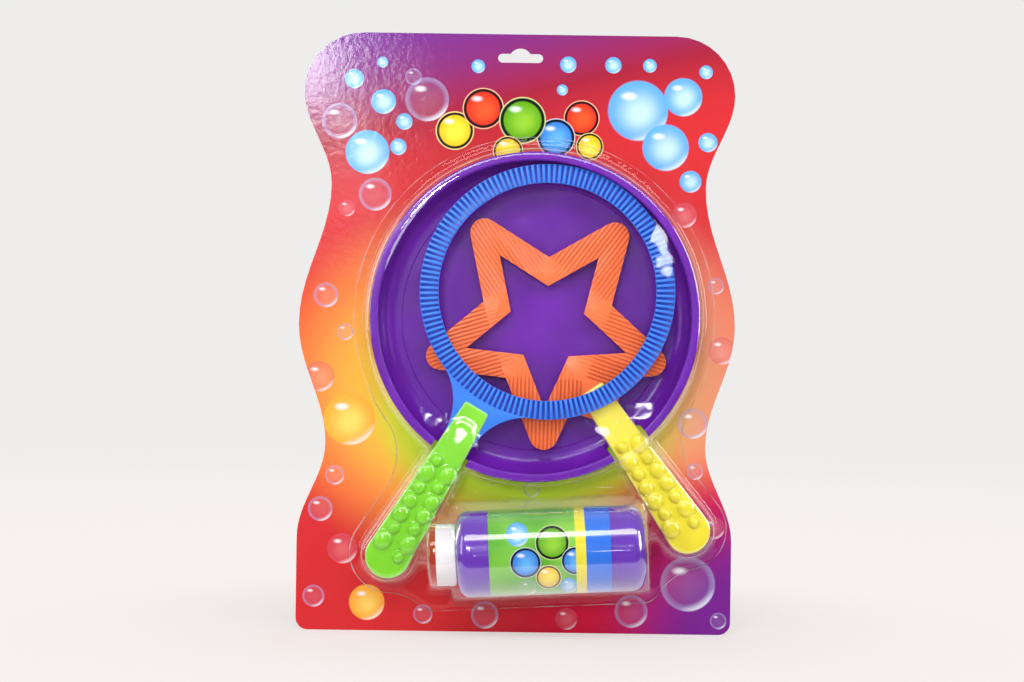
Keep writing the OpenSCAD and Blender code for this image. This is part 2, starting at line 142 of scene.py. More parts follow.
# Heights of the relief that materials paint
SKIN_GRAIN = 0.02 * MM
PAPER_GRAIN = 0.01 * MM
CARD_WARP = 2.5 * MM
SHEET_RIPPLE = 1.2 * MM
RIDGE_RELIEF = 0.4 * MM


def length(name, text, millimetres):
    """A settable size, given in millimetres and kept in metres."""
    return bpy.props.FloatProperty(
        name=name, description=text, default=millimetres * MM, unit="LENGTH", precision=5
    )


def paint(name, text, default):
    """A settable colour."""
    return bpy.props.FloatVectorProperty(
        name=name, description=text, default=default, subtype="COLOR", size=3, min=0, max=1
    )


class BubbleSetSizes(bpy.types.PropertyGroup):
    """Sizes of the pieces."""

    lip_w: length("Lip width", "Width of the dish's rolled lip", 6)
    lip_edge_r: length("Lip edge", "Rounding of the lip's two edges", 1.3)
    lip_drop: length("Lip drop", "Drop of the lip's outer skirt", 6)
    dish_wall: length("Dish wall", "Wall thickness of the dish", 1.6)
    dish_floor_t: length("Dish floor", "Thickness of the dish's floor", 1.8)
    dish_floor_r: length("Floor radius", "Radius of the dish's flat floor", 97.5)
    cove_h: length("Cove height", "Height at which the dish's wall turns upright", 18)
    step_w: length("Step width", "Width of the raised ring round the dish's floor", 3)
    step_h: length("Step height", "Height of the raised ring round the dish's floor", 0.8)
    notch_room: length("Notch room", "Room beside a handle in the dish's wall", 2.2)
    ridge_pitch: length("Ridge pitch", "Distance from ridge to ridge on the star", 2.8)
    head_t: length("Head thickness", "Thickness of both wand heads", 4.6)
    ring_r: length("Ring radius", "Outer radius of the ring", 89.5)
    ring_band_w: length("Ring band", "Radial width of the ring's band", 13.2)
    ring_rim_w: length("Ring rim", "Width of the plain rims of the ring", 0.5)
    groove_w: length("Groove width", "Width of the ring's grooves", 1.8)
    groove_depth: length("Groove depth", "Depth of the ring's grooves", 1.1)
    yoke_r: length("Yoke radius", "Radius of the flare between the ring and its handle", 45)
    ring_stem: length("Ring stem", "Distance from the ring's centre to its handle", 94.7)
    star_stem: length("Star stem", "Distance from the star's centre to its handle", 55)
    handle_len: length("Handle length", "Length of a handle", 137)
    handle_w: length("Handle width", "Width of a handle at its square end", 19)
    handle_end_w: length("Handle end", "Width of a handle at its round end", 32)
    handle_t: length("Handle thickness", "Thickness of a handle between its bumps", 9.4)
    handle_edge_r: length("Handle edge", "Rounding of a handle's edges", 1.6)
    handle_slot_len: length("Handle slot", "Depth of the slot that takes a wand head", 30)
    plain_len: length("Plain length", "Length of a handle before its bumps start", 43)
    bump_r: length("Bump radius", "Radius of a middle-sized grip bump", 5.6)
    bump_h: length("Bump height", "Height of the grip bumps", 2.2)
    bottle_r: length("Bottle radius", "Radius of the bottle's body", 30)
    bottle_len: length("Bottle length", "Length of the bottle's body", 130)
    neck_r: length("Neck radius", "Outer radius of the neck", 18.8)
    neck_h: length("Neck height", "Height of the neck", 11)
    cap_r: length("Cap radius", "Outer radius of the cap", 21.55)
    label_start: length("Label start", "Distance of the label from the bottle's base", 24.3)
    label_len: length("Label length", "Length of the label along the bottle", 83.5)
    sheet_t: length("Sheet", "Thickness of the blister's sheet", 0.5)
    pocket_margin: length("Pocket margin", "Room between a pocket's foot and its contents", 4)
    pocket_edge_r: length("Pocket edge", "Rounding of a pocket's top edge", 5)
    pocket_draft: length("Pocket draft", "Inward lean of a pocket's walls", 2)
    channel_h: length("Channel height", "Height of the channels that join the pockets", 14)
    channel_w: length("Channel width", "Width of the channels that join the pockets", 34)


class BubbleSetColours(bpy.types.PropertyGroup):
    """Colours of the pieces."""

    dish: paint("Dish", "Purple of the dip dish", (0.142, 0.0135, 0.39))
    ring: paint("Ring", "Blue of the ring wand", (0.034, 0.205, 0.86))
    # The next colour is painted shade: deeper blue for the foot of the ring's grooves
    ring_groove_shade: paint("Ring grooves", "Deep blue at the foot of the ring's grooves", (0.001, 0.04, 0.42))
    star: paint("Star", "Orange of the star wand", (0.95, 0.178, 0.048))
    green: paint("Green handle", "Green of the ring wand's handle", (0.225, 0.71, 0.032))
    yellow: paint("Yellow handle", "Yellow of the star wand's handle", (0.87, 0.76, 0.042))
    bottle: paint("Bottle", "Purple of the bottle", (0.14, 0.042, 0.46))
    cap: paint("Cap", "White of the cap", (0.79, 0.78, 0.80))
    board: paint("Board", "Plain board at the card's back and edges", (0.74, 0.72, 0.68))
    backdrop: paint("Backdrop", "Pale backdrop", (0.855, 0.847, 0.838))
    floor: paint("Floor", "Pale floor", (0.93, 0.885, 0.87))


# Small tools for modelling


def sizes():
    """The sizes in use."""
    return bpy.context.scene.bubble_set_sizes


def colours():
    """The colours in use."""
    return bpy.context.scene.bubble_set_colours


def deselect():
    """Leaves nothing selected, in object mode."""
    if bpy.context.mode != "OBJECT":
        bpy.ops.object.mode_set(mode="OBJECT")
    bpy.ops.object.select_all(action="DESELECT")


def pick(*pieces):
    """Selects these pieces alone and makes the first one active."""
    deselect()
    for piece in pieces:
        piece.select_set(True)
    bpy.context.view_layer.objects.active = pieces[0]


def edit(piece):
    """Opens a piece in edit mode with all of it selected."""
    pick(piece)
    bpy.ops.object.mode_set(mode="EDIT")
    bpy.ops.mesh.select_mode(type="VERT")
    bpy.ops.mesh.select_all(action="SELECT")


def close_edit():
    """Back to object mode."""
    bpy.ops.object.mode_set(mode="OBJECT")


def delete(piece, kind, parts, unwanted):
    """Deletes the unwanted ones of a piece's faces or edges."""
    edit(piece)
    bpy.ops.mesh.select_mode(type=kind)
    bpy.ops.mesh.select_all(action="DESELECT")
    close_edit()
    for part in parts:
        part.select = unwanted(part)
    bpy.ops.object.mode_set(mode="EDIT")
    bpy.ops.mesh.delete(type=kind)
    close_edit()


def keep_faces(piece, wanted):
    """Deletes all faces but the wanted ones."""
    delete(piece, "FACE", piece.data.polygons, lambda face: not wanted(face))
    if not piece.data.polygons:
        raise RuntimeError(f"{piece.name} has no faces left")


def oval_arc(centre, across, up, start, end, steps):
    """Points of an arc of an oval in a plane, angles in degrees."""
    turns = [math.radians(start + (end - start) * i / steps) for i in range(steps + 1)]
    return [(centre[0] + across * math.cos(a), centre[1] + up * math.sin(a)) for a in turns]


def arc(centre, radius, start, end, steps):
    """Points of an arc of a circle in a plane, angles in degrees."""
    return oval_arc(centre, radius, radius, start, end, steps)


def mirrored(half):
    """An outline's right half followed by its left half."""
    return half + [(-x, y) for x, y in reversed(half)]


def drawn(name, points, filled):
    """A closed outline with one vertex at each point."""
    deselect()
    fill = "NGON" if filled else "NOTHING"
    bpy.ops.mesh.primitive_circle_add(vertices=len(points), fill_type=fill)
    piece = bpy.context.object
    piece.name = name
    for vertex, point in zip(piece.data.vertices, points):
        vertex.co = point
    return piece


def clean(piece):
    """Merges doubled vertices and points the faces outwards."""
    edit(piece)
    bpy.ops.mesh.remove_doubles(threshold=MERGE)
    bpy.ops.mesh.normals_make_consistent(inside=False)
    close_edit()
    return piece


def turned(name, profile, steps=TURN_STEPS, closed=False):
    """A piece turned about z from a profile of radius and height, open on the axis unless closed."""
    piece = drawn(name, [(r, 0, z) for r, z in profile], filled=False)
    if not closed:
        ends = {0, len(profile) - 1}
        delete(piece, "EDGE", piece.data.edges, lambda edge: set(edge.vertices) == ends)
    edit(piece)
    bpy.ops.mesh.spin(steps=steps, angle=math.tau, center=(0, 0, 0), axis=(0, 0, 1))
    close_edit()
    return clean(piece)


def thickened(piece, depth):
    """Extrudes a flat piece along z and points its faces outwards."""
    edit(piece)
    bpy.ops.mesh.extrude_region_move(TRANSFORM_OT_translate={"value": (0, 0, depth)})
    bpy.ops.mesh.select_all(action="SELECT")
    bpy.ops.mesh.normals_make_consistent(inside=False)
    close_edit()
    return piece


def extruded(name, outline, low, high):
    """A plate between two heights with this outline."""
    return thickened(drawn(name, [(x, y, low) for x, y in outline], filled=True), high - low)


def block(name, x, y, z):
    """A block of these sizes about the origin."""
    deselect()
    bpy.ops.mesh.primitive_cube_add(size=1)
    piece = bpy.context.object
    piece.name = name
    return put(piece, Matrix.Diagonal((x, y, z, 1)))


def applied(piece, kind, **settings):
    """Adds a modifier with these settings and applies it."""
    pick(piece)
    modifier = piece.modifiers.new(kind.title(), kind)
    for key, value in settings.items():
        setattr(modifier, key, value)
    bpy.ops.object.modifier_apply(modifier=modifier.name)
    return piece


def rounded(piece, radius, segments=3, angle=40):
    """Bevels the sharp edges of a piece."""
    limit = math.radians(angle)
    return applied(piece, "BEVEL", width=radius, segments=segments, limit_method="ANGLE", angle_limit=limit)


def cut(piece, cutter):
    """Cuts a piece by another one and removes the cutter."""
    applied(piece, "BOOLEAN", operation="DIFFERENCE", object=cutter, solver="EXACT")
    bpy.data.objects.remove(cutter)


def joined(*pieces):
    """Joins pieces into the first one."""
    pick(*pieces)
    bpy.ops.object.join()
    return pieces[0]


def hulled(*pieces):
    """The convex hull of pieces."""
    made = joined(*pieces)
    edit(made)
    bpy.ops.mesh.convex_hull()
    close_edit()
    return made


def copied(node, name):
    """A copy of a solid with a mesh of its own, its doubled vertices merged."""
    pick(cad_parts[node])
    bpy.ops.object.duplicate()
    piece = bpy.context.object
    piece.name = name
    bpy.ops.object.transform_apply(location=True, rotation=True, scale=True)
    return clean(piece)


def put(piece, place):
    """Moves a piece by a matrix and keeps that in its mesh."""
    pick(piece)
    piece.matrix_world = place @ piece.matrix_world
    bpy.ops.object.transform_apply(location=True, rotation=True, scale=True)
    return piece


def moved(piece, x, y, z):
    """Moves a piece along the axes."""
    return put(piece, Matrix.Translation((x, y, z)))


def upright():
    """From lying on the card to standing."""
    return Matrix.Rotation(math.pi / 2, 4, "X")


def wand_place(centre, lean):
    """From a wand's own frame, with its handle down -y, to the lying card."""
    return Matrix.Translation(centre) @ Matrix.Rotation(lean, 4, "Z")


def bottle_place():
    """From the bottle's own frame, with its axis up z from its base, to the lying card."""
    slope = Matrix.Rotation(BOTTLE_SLOPE, 4, "Z")
    lay = Matrix.Rotation(-math.pi / 2, 4, "Y")
    to_middle = Matrix.Translation((0, 0, -sizes().bottle_len / 2))
    return Matrix.Translation(BOTTLE_CENTRE) @ slope @ lay @ to_middle


def smooth(piece, angle):
    """Shades a piece smooth up to an angle in degrees."""
    pick(piece)
    bpy.ops.object.shade_smooth_by_angle(angle=math.radians(angle))
    return piece


def stood(piece, angle, place=Matrix()):
    """Puts a piece in its place on the card, stands it up and shades it smooth."""
    put(piece, upright() @ place)
    return smooth(piece, angle)


def dress(piece, material):
    """Gives a piece one material."""
    piece.data.materials.clear()
    piece.data.materials.append(material)


def finish_piece(piece, body, node, material):
    """Gives a piece its material and body, and hides the solid it stands for."""
    dress(piece, material)
    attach(piece, body)
    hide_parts(node)


# Small tools for materials

WHITE = (1, 1, 1, 1)
PLASTIC_IOR = 1.5


def rgb(colour):
    """A colour with an alpha of 1."""
    return (*colour[:3], 1.0)


def scaled(colour, share):
    """A colour made darker or lighter by a share."""
    return rgb([min(1.0, part * share) for part in colour[:3]])


class Shade:
    """A node tree with short calls for its nodes."""

    def __init__(self, tree):
        self.tree = tree
        tree.nodes.clear()

    def node(self, kind, inputs=None, **settings):
        """A node with its settings, and its inputs by name or number as values or sockets."""
        made = self.tree.nodes.new(kind)
        for key, value in settings.items():
            setattr(made, key, value)
        for key, value in (inputs or {}).items():
            if isinstance(value, bpy.types.NodeSocket):
                self.tree.links.new(value, made.inputs[key])
            else:
                made.inputs[key].default_value = value
        return made

    def math(self, operation, first, second=0.0):
        """A Math node's result."""
        return self.node("ShaderNodeMath", {0: first, 1: second}, operation=operation).outputs[0]

    def plus(self, first, second):
        """A sum."""
        return self.math("ADD", first, second)

    def less(self, first, second):
        """A difference."""
        return self.math("SUBTRACT", first, second)

    def times(self, first, second):
        """A product."""
        return self.math("MULTIPLY", first, second)

    def vector(self, operation, first, second):
        """A Vector Math node's result."""
        return self.node("ShaderNodeVectorMath", {0: first, 1: second}, operation=operation).outputs[0]

    def reach(self, vector):
        """The length of a vector."""
        return self.node("ShaderNodeVectorMath", {0: vector}, operation="LENGTH").outputs["Value"]

    def reach_over_card(self, place, middle, stretch_shares):
        """Distance over the card from a middle in millimetres, each axis stretched by its share."""
        (across, up), (wide, tall) = middle, stretch_shares
        shift = self.vector("SUBTRACT", place, (across * MM, 0, up * MM))
        return self.reach(self.vector("MULTIPLY", shift, (wide, 0, tall)))

    def axes(self, vector):
        """A vector's three values."""
        return self.node("ShaderNodeSeparateXYZ", {0: vector}).outputs

    def mix(self, share, first, second):
        """A colour mixed from two."""
        return self.node("ShaderNodeMix", {0: share, 6: first, 7: second}, data_type="RGBA").outputs[2]

    def step(self, value, low, high, first=0.0, second=1.0):
        """A smooth step of a value from low to high."""
        inputs = {0: value, 1: low, 2: high, 3: first, 4: second}
        return self.node("ShaderNodeMapRange", inputs, interpolation_type="SMOOTHSTEP").outputs[0]

    def place(self, turn=(0, 0, 0), shift=(0, 0, 0)):
        """Object coordinates, shifted and turned."""
        coords = self.node("ShaderNodeTexCoord").outputs["Object"]
        inputs = {"Vector": coords, "Location": shift, "Rotation": turn}
        return self.node("ShaderNodeMapping", inputs).outputs[0]

    def noise(self, place, scale, detail=2.0, roughness=0.5):
        """A noise value from 0 to 1."""
        inputs = {"Vector": place, "Scale": scale, "Detail": detail, "Roughness": roughness}
        return self.node("ShaderNodeTexNoise", inputs).outputs["Fac"]

    def bump(self, height, distance, strength=1.0):
        """A bumped normal."""
        inputs = {"Height": height, "Distance": distance, "Strength": strength}
        return self.node("ShaderNodeBump", inputs).outputs[0]

    def facing(self):
        """A value that runs from 0 on faces seen straight to 1 at grazing ones."""
        return self.node("ShaderNodeLayerWeight", {"Blend": 0.5}).outputs["Facing"]

    def flow_marks(self, place, scale, colour, low_share, high_share):
        """A colour with faint flow marks between two shares of it."""
        flow = self.step(self.noise(place, scale, 3.0), 0.35, 0.65)
        return self.mix(flow, scaled(colour, low_share), scaled(colour, high_share))

    def uneven(self, place, roughness, spread_share):
        """A roughness that wanders by a share of itself."""
        low, high = roughness * (1 - spread_share), roughness * (1 + spread_share)
        return self.step(self.noise(place, 60.0, 3.0), 0.3, 0.7, low, high)

    def shader(self, kind, **inputs):
        """A shader's output. Input names take an underscore for a space."""
        named = {key.replace("_", " "): value for key, value in inputs.items()}
        return self.node("ShaderNode" + kind, named).outputs[0]

    def blend(self, share, first, second):
        """Two shaders mixed."""
        return self.node("ShaderNodeMixShader", {0: share, 1: first, 2: second}).outputs[0]


class Finish(Shade):
    """A material's node tree."""

    def __init__(self, name):
        self.material = bpy.data.materials.new(name)
        self.material.use_nodes = True
        super().__init__(self.material.node_tree)

    def made(self, shader):
        """The material with this shader as its surface."""
        self.node("ShaderNodeOutputMaterial", {"Surface": shader})
        return self.material

    def plastic(self, **inputs):
        """The material with a Principled shader as its surface."""
        return self.made(self.shader("BsdfPrincipled", IOR=PLASTIC_IOR, **inputs))


def moulded(name, colour, roughness, low_share=0.9, high_share=1.06, specular=0.5):
    """Moulded plastic: faint flow marks in its colour, uneven gloss and a fine skin."""
    s = Finish(name)
    place = s.place()
    return s.plastic(
        Base_Color=s.flow_marks(place, 28.0, colour, low_share, high_share),
        Roughness=s.uneven(place, roughness, 0.15),
        Normal=s.bump(s.noise(place, 900.0), SKIN_GRAIN),
        Specular_IOR_Level=specular,
    )


# Printed bubbles: edge colour, heart colour, cover of the body and strength of the dark outline
SKY, CLEAR, AMBER, ROSE = "sky", "clear", "amber", "rose"
RED, LIME, GOLD, BLUE = "red", "lime", "gold", "blue"
BUBBLE_KINDS = {
    SKY: ((0.10, 0.40, 0.86), (0.56, 0.82, 0.97), 0.95, 0.0),
    CLEAR: ((0.34, 0.33, 0.58), (0.62, 0.62, 0.78), 0.09, 0.0),
    AMBER: ((0.92, 0.42, 0.05), (0.98, 0.74, 0.16), 0.9, 0.0),
    ROSE: ((0.62, 0.10, 0.16), (0.86, 0.34, 0.36), 0.35, 0.0),
    RED: ((0.72, 0.03, 0.015), (0.93, 0.11, 0.03), 1.0, 1.0),
    LIME: ((0.10, 0.36, 0.01), (0.30, 0.62, 0.04), 1.0, 1.0),
    GOLD: ((0.80, 0.50, 0.01), (0.96, 0.82, 0.06), 1.0, 1.0),
    BLUE: ((0.03, 0.20, 0.70), (0.14, 0.48, 0.95), 1.0, 1.0),
}
# Place across and up the card and radius, all in millimetres, and kind
PRINTED_BUBBLES = (
    (-118, -16, 7, SKY), (-98, -4, 4, SKY), (-128, -46, 13, CLEAR), (-97, -32, 9, SKY), (-76, -14, 6, CLEAR),
    (-66, -30, 16, CLEAR), (-82, -46, 6, SKY), (-30, -6, 5, SKY), (-108, -68, 16, SKY), (-86, -64, 6, SKY),
    (-122, -108, 6, ROSE), (-102, -98, 12, CLEAR), (34, -4, 6, SKY), (30, -22, 4, SKY), (84, -36, 22, SKY),
    (66, -4, 6, SKY), (92, -4, 5, SKY), (104, -62, 17, SKY), (116, -26, 14, SKY), (132, -8, 5, SKY),
    (134, -58, 7, SKY), (122, -86, 8, SKY), (118, -110, 9, ROSE), (141, -160, 6, CLEAR),
    (146, -206, 10, ROSE), (-136, -170, 9, CLEAR), (-122, -196, 6, CLEAR), (-140, -228, 11, ROSE),
    (-118, -258, 19, AMBER), (-128, -298, 7, CLEAR), (126, -258, 11, CLEAR), (128, -292, 6, CLEAR),
    (-138, -322, 9, CLEAR), (-122, -350, 11, ROSE), (-142, -384, 8, CLEAR), (-104, -388, 13, AMBER),
    (-64, -396, 7, CLEAR), (-20, -396, 10, CLEAR), (38, -398, 8, ROSE), (84, -392, 12, CLEAR),
    (124, -372, 20, CLEAR), (142, -332, 8, ROSE), (146, -398, 6, CLEAR), (62, -270, 7, CLEAR),
    (12, -306, 6, CLEAR), (-46, -52, 14, GOLD), (44, -42, 13, RED), (-26, -36, 15, RED),
    (26, -56, 14, BLUE), (2, -44, 17, LIME), (50, -62, 10, GOLD), (-8, -66, 11, GOLD),
)
LABEL_BUBBLES = (
    (2, -333, 8, SKY), (8, -352, 11, BLUE), (26, -338, 12, LIME), (24, -362, 9, GOLD), (42, -350, 10, BLUE),
    (38, -368, 6, SKY), (48, -332, 5, SKY), (10, -370, 6, CLEAR),
)
BUBBLE_SOCKETS = {
    "Colour": "Color", "Point": "Vector", "Middle": "Vector", "Radius": "Float", "Tint": "Color",
    "Heart": "Color", "Body": "Float", "Line": "Float",
}
# Glows on the card: middle in millimetres, stretch shares, outer and inner reach in millimetres, and colour
GLOW_MIDDLE, OVAL_SHARES = (5, -232), (0.92, 1.24)
CARD_CORNER = (172, -408)
WARM_GLOWS = (
    (GLOW_MIDDLE, OVAL_SHARES, 185, 120, (0.92, 0.27, 0.06)),
    (GLOW_MIDDLE, OVAL_SHARES, 142, 85, (0.84, 0.58, 0.06)),
    ((8, -250), OVAL_SHARES, 108, 70, (0.60, 0.84, 0.04)),
)
CORNER_GLOWS = (
    (CARD_CORNER, (1, 1.5), 210, 130, (0.64, 0.014, 0.05)),
    (CARD_CORNER, (1, 1), 125, 40, (0.17, 0.02, 0.25)),
)


def bubble_group():
    """Node group that paints one printed bubble over a colour. Reaches are shares of its radius."""
    tree = bpy.data.node_groups.new("printed_bubble", "ShaderNodeTree")
    for name, kind in BUBBLE_SOCKETS.items():
        tree.interface.new_socket(name, in_out="INPUT", socket_type="NodeSocket" + kind)
    for name in ("Colour", "Point"):
        kind = BUBBLE_SOCKETS[name]
        tree.interface.new_socket(name, in_out="OUTPUT", socket_type="NodeSocket" + kind)
    s = Shade(tree)
    given = s.node("NodeGroupInput").outputs
    shift = s.vector("SUBTRACT", given["Point"], given["Middle"])
    size = s.math("DIVIDE", 1.0, given["Radius"])
    spot = s.node("ShaderNodeVectorMath", {0: shift, "Scale": size}, operation="SCALE").outputs[0]
    across, _, up = s.axes(spot)
    reach = s.reach(spot)
    inside = s.step(reach, 0.93, 1.0, 1.0, 0.0)
    rim = s.times(s.step(reach, 0.62, 0.97), inside)
    # Light falls on the bubble from above on the left and leaves through its lower right
    slant = s.plus(s.times(across, 0.5), s.times(up, -0.8))
    heart = s.times(s.step(reach, 0.95, 0.1), s.step(slant, -0.9, 0.5, 0.45, 1.0))
    cover = s.math("MAXIMUM", s.times(inside, given["Body"]), s.times(rim, 0.6))
    painted = s.mix(cover, given["Colour"], s.mix(heart, given["Tint"], given["Heart"]))
    # A dark outline with a cream one round it
    band = s.times(s.step(reach, 0.76, 0.82), s.step(reach, 0.94, 0.9))
    painted = s.mix(s.times(band, given["Line"]), painted, (0.012, 0.012, 0.014, 1))
    cream = s.times(s.times(s.step(reach, 0.92, 0.96), inside), given["Line"])
    painted = s.mix(cream, painted, (0.93, 0.86, 0.55, 1))
    gleam_at = s.vector("SUBTRACT", spot, (-0.3, 0, 0.46))
    gleam_reach = s.reach(s.vector("MULTIPLY", gleam_at, (1.0, 0, 1.9)))
    gleam = s.times(s.step(gleam_reach, 0.06, 0.36, 0.75, 0.0), inside)
    bare = s.less(1.0, given["Line"])
    crescent = s.times(s.times(s.step(slant, 0.5, 0.9), rim), s.times(bare, 0.6))
    shown = s.mix(s.math("MAXIMUM", gleam, crescent), painted, (0.92, 0.95, 1.0, 1.0))
    # The point is handed on, so that a row of bubbles is worked out one after another
    trace = {0: shown, 1: (1e-9, 1e-9, 1e-9), 2: given["Point"]}
    passed = s.node("ShaderNodeVectorMath", trace, operation="MULTIPLY_ADD").outputs[0]
    s.node("NodeGroupOutput", {"Colour": shown, "Point": passed})
    return tree


def bubbles_over(s, colour, group, spots):
    """Paints a list of bubbles over a colour."""
    point = s.vector("MULTIPLY", s.node("ShaderNodeTexCoord").outputs["Object"], (1, 0, 1))
    for across, up, radius, kind in spots:
        tint, heart, body, line = BUBBLE_KINDS[kind]
        inputs = {
            "Colour": colour, "Point": point, "Middle": (across * MM, 0, up * MM), "Radius": radius * MM,
            "Tint": rgb(tint), "Heart": rgb(heart), "Body": body, "Line": line,
        }
        colour, point = s.node("ShaderNodeGroup", inputs, node_tree=group).outputs
    return colour


def glows_over(s, colour, place, glows):
    """Paints soft ovals over a colour."""
    for middle, stretch_shares, outer, inner, tint in glows:
        reach = s.reach_over_card(place, middle, stretch_shares)
        colour = s.mix(s.step(reach, outer * MM, inner * MM), colour, rgb(tint))
    return colour


def card_print():
    """Gloss print of a warm gradient with soap bubbles on the front, bare board elsewhere."""
    s = Finish("printed_card")
    place = s.place()
    across, depth, up = s.axes(place)
    # Purple at the upper left runs through crimson to red
    slope = s.plus(s.times(across, 0.25), s.times(up, -1.0))
    ramp = s.node("ShaderNodeValToRGB", {0: s.step(slope, -70 * MM, 85 * MM)})
    stops = ramp.color_ramp.elements
    stops[0].color = (0.15, 0.027, 0.29, 1)
    stops[1].color = (0.60, 0.03, 0.035, 1)
    stops.new(0.35).color = (0.22, 0.027, 0.175, 1)
    stops.new(0.68).color = (0.34, 0.018, 0.042, 1)
    # Orange and yellow round the middle, green at its heart, and all of it duller to the right
    colour = glows_over(s, ramp.outputs[0], place, WARM_GLOWS)
    right = s.step(across, 70 * MM, 140 * MM, 0.0, 0.55)
    near = s.step(s.reach_over_card(place, GLOW_MIDDLE, OVAL_SHARES), 200 * MM, 120 * MM)
    colour = s.mix(s.times(right, near), colour, (0.60, 0.24, 0.225, 1))
    # Crimson and violet at the lower right
    colour = glows_over(s, colour, place, CORNER_GLOWS)
    colour = bubbles_over(s, colour, bubble_group(), PRINTED_BUBBLES)
    fibres = s.plus(s.noise(place, 2200.0, 4.0, 0.7), s.less(s.noise(place, 110.0, 5.0, 0.7), 0.5))
    board = s.mix(fibres, scaled(colours().board, 0.88), scaled(colours().board, 1.08))
    front = s.step(depth, -0.97 * CARD_T, -0.93 * CARD_T, 1.0, 0.0)
    warp = s.plus(s.noise(place, 9.0, 1.0), s.times(s.noise(place, 190.0, 4.0, 0.65), 0.09))
    return s.plastic(
        Base_Color=s.mix(front, board, colour),
        Roughness=s.step(front, 0.0, 1.0, 0.85, 0.11),
        Normal=s.bump(warp, CARD_WARP, 0.6),
        Specular_IOR_Level=0.25,
    )


def clear_sheet():
    """Clear formed sheet that mirrors at its edges, where a faint milky white, partly haze and partly
    painted sheen, joins the mirror.
    """
    s = Finish("clear_blister")
    place = s.place()
    ripple = s.bump(s.noise(place, 26.0), SHEET_RIPPLE, 0.25)
    mirror = s.shader("BsdfGlossy", Color=WHITE, Roughness=0.025, Normal=ripple)
    haze_and_sheen = s.shader("BsdfDiffuse", Color=(0.95, 0.95, 0.95, 1))
    clear = s.shader("BsdfTransparent", Color=(0.995, 0.995, 0.995, 1))
    edge = s.math("POWER", s.facing(), 2.2)
    # The flange is sealed to the card, so only one of its faces mirrors
    flat_share = s.step(s.axes(place)["Y"], -CARD_T - 3 * MM, -CARD_T - 1 * MM, 0.055, 0.02)
    mirrored_share = s.plus(flat_share, s.times(edge, 0.9))
    # Milky white at the steep walls: partly haze, partly a painted sheen standing in for bright reflections
    skin = s.blend(s.times(edge, 0.4), mirror, haze_and_sheen)
    # Light passes the sheet freely on its way to the contents, and only the outer skin mirrors
    path = s.node("ShaderNodeLightPath").outputs
    passing = s.math("MAXIMUM", path["Is Shadow Ray"], path["Is Diffuse Ray"])
    back = s.node("ShaderNodeNewGeometry").outputs["Backfacing"]
    kept = s.less(1.0, s.math("MAXIMUM", passing, back))
    return s.made(s.blend(s.times(mirrored_share, kept), clear, skin))


def cut_sheet():
    """Cut edge of the sheet: mostly clear, and milky white in places, partly haze and partly a painted
    highlight of the edge catching light.
    """
    s = Finish("clear_blister_edge")
    haze_and_sheen = s.shader("BsdfPrincipled", Base_Color=(0.95, 0.95, 0.93, 1), Roughness=0.2)
    clear = s.shader("BsdfTransparent", Color=WHITE)
    # Painted highlight: white patches along the cut edge stand in for light caught by it, with some haze
    return s.made(s.blend(s.step(s.noise(s.place(), 60.0), 0.35, 0.7, 0.03, 0.3), clear, haze_and_sheen))


def label_print():
    """Gloss label: a green field with bubbles, a yellow stripe and a blue band."""
    s = Finish("label_film")
    turn = Matrix.Rotation(BOTTLE_SLOPE, 3, "Y").to_euler()
    low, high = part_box("bottle_label")
    middle = (low + high) / 2
    place = s.place(turn=tuple(turn), shift=tuple(-(turn.to_matrix() @ middle)))
    wave = s.step(s.noise(place, 30.0, 1.0), 0.35, 0.65)
    colour = s.mix(wave, (0.11, 0.42, 0.03, 1), (0.24, 0.60, 0.07, 1))
    colour = bubbles_over(s, colour, bpy.data.node_groups["printed_bubble"], LABEL_BUBBLES)
    along = s.axes(place)["X"]
    for inset, tint in ((STRIPE_IN, (0.80, 0.72, 0.05, 1)), (BAND_IN, (0.03, 0.17, 0.75, 1))):
        start = sizes().label_len / 2 - inset
        colour = s.mix(s.step(along, start - PRINT_EDGE, start), colour, tint)
    return s.plastic(
        Base_Color=colour,
        Roughness=0.18,
        Normal=s.bump(s.noise(place, 1400.0), PAPER_GRAIN),
        Coat_Weight=1.0,
        Coat_Roughness=0.06,
    )


def gripped(name, colour, crease_shade_share):
    """Moulded grip with painted shade in the creases round its bumps and a painted highlight along its edge.
    """
    s = Finish(name)
    place = s.place()
    marks = [s.node("ShaderNodeAttribute", attribute_name=mark).outputs["Fac"] for mark in GRIP_MARKS]
    crease_shade, rim, dome = marks
    base = s.flow_marks(place, 28.0, colour, 0.93, 1.05)
    # Painted shade: darker colour in the creases round the bumps
    base = s.mix(s.times(crease_shade, crease_shade_share), base, scaled(colour, 0.5))
    # Painted highlight: paler colour along the handle's rounded edge, where it catches light
    edge_highlight = rgb([0.55 * part + 0.45 for part in colour[:3]])
    grain = s.times(s.noise(place, 900.0), 0.017)
    return s.plastic(
        Base_Color=s.mix(s.times(rim, 0.45), base, edge_highlight),
        Roughness=s.uneven(place, 0.13, 0.2),
        Normal=s.bump(s.plus(dome, grain), DOME_H),
        Specular_IOR_Level=1.0,
    )


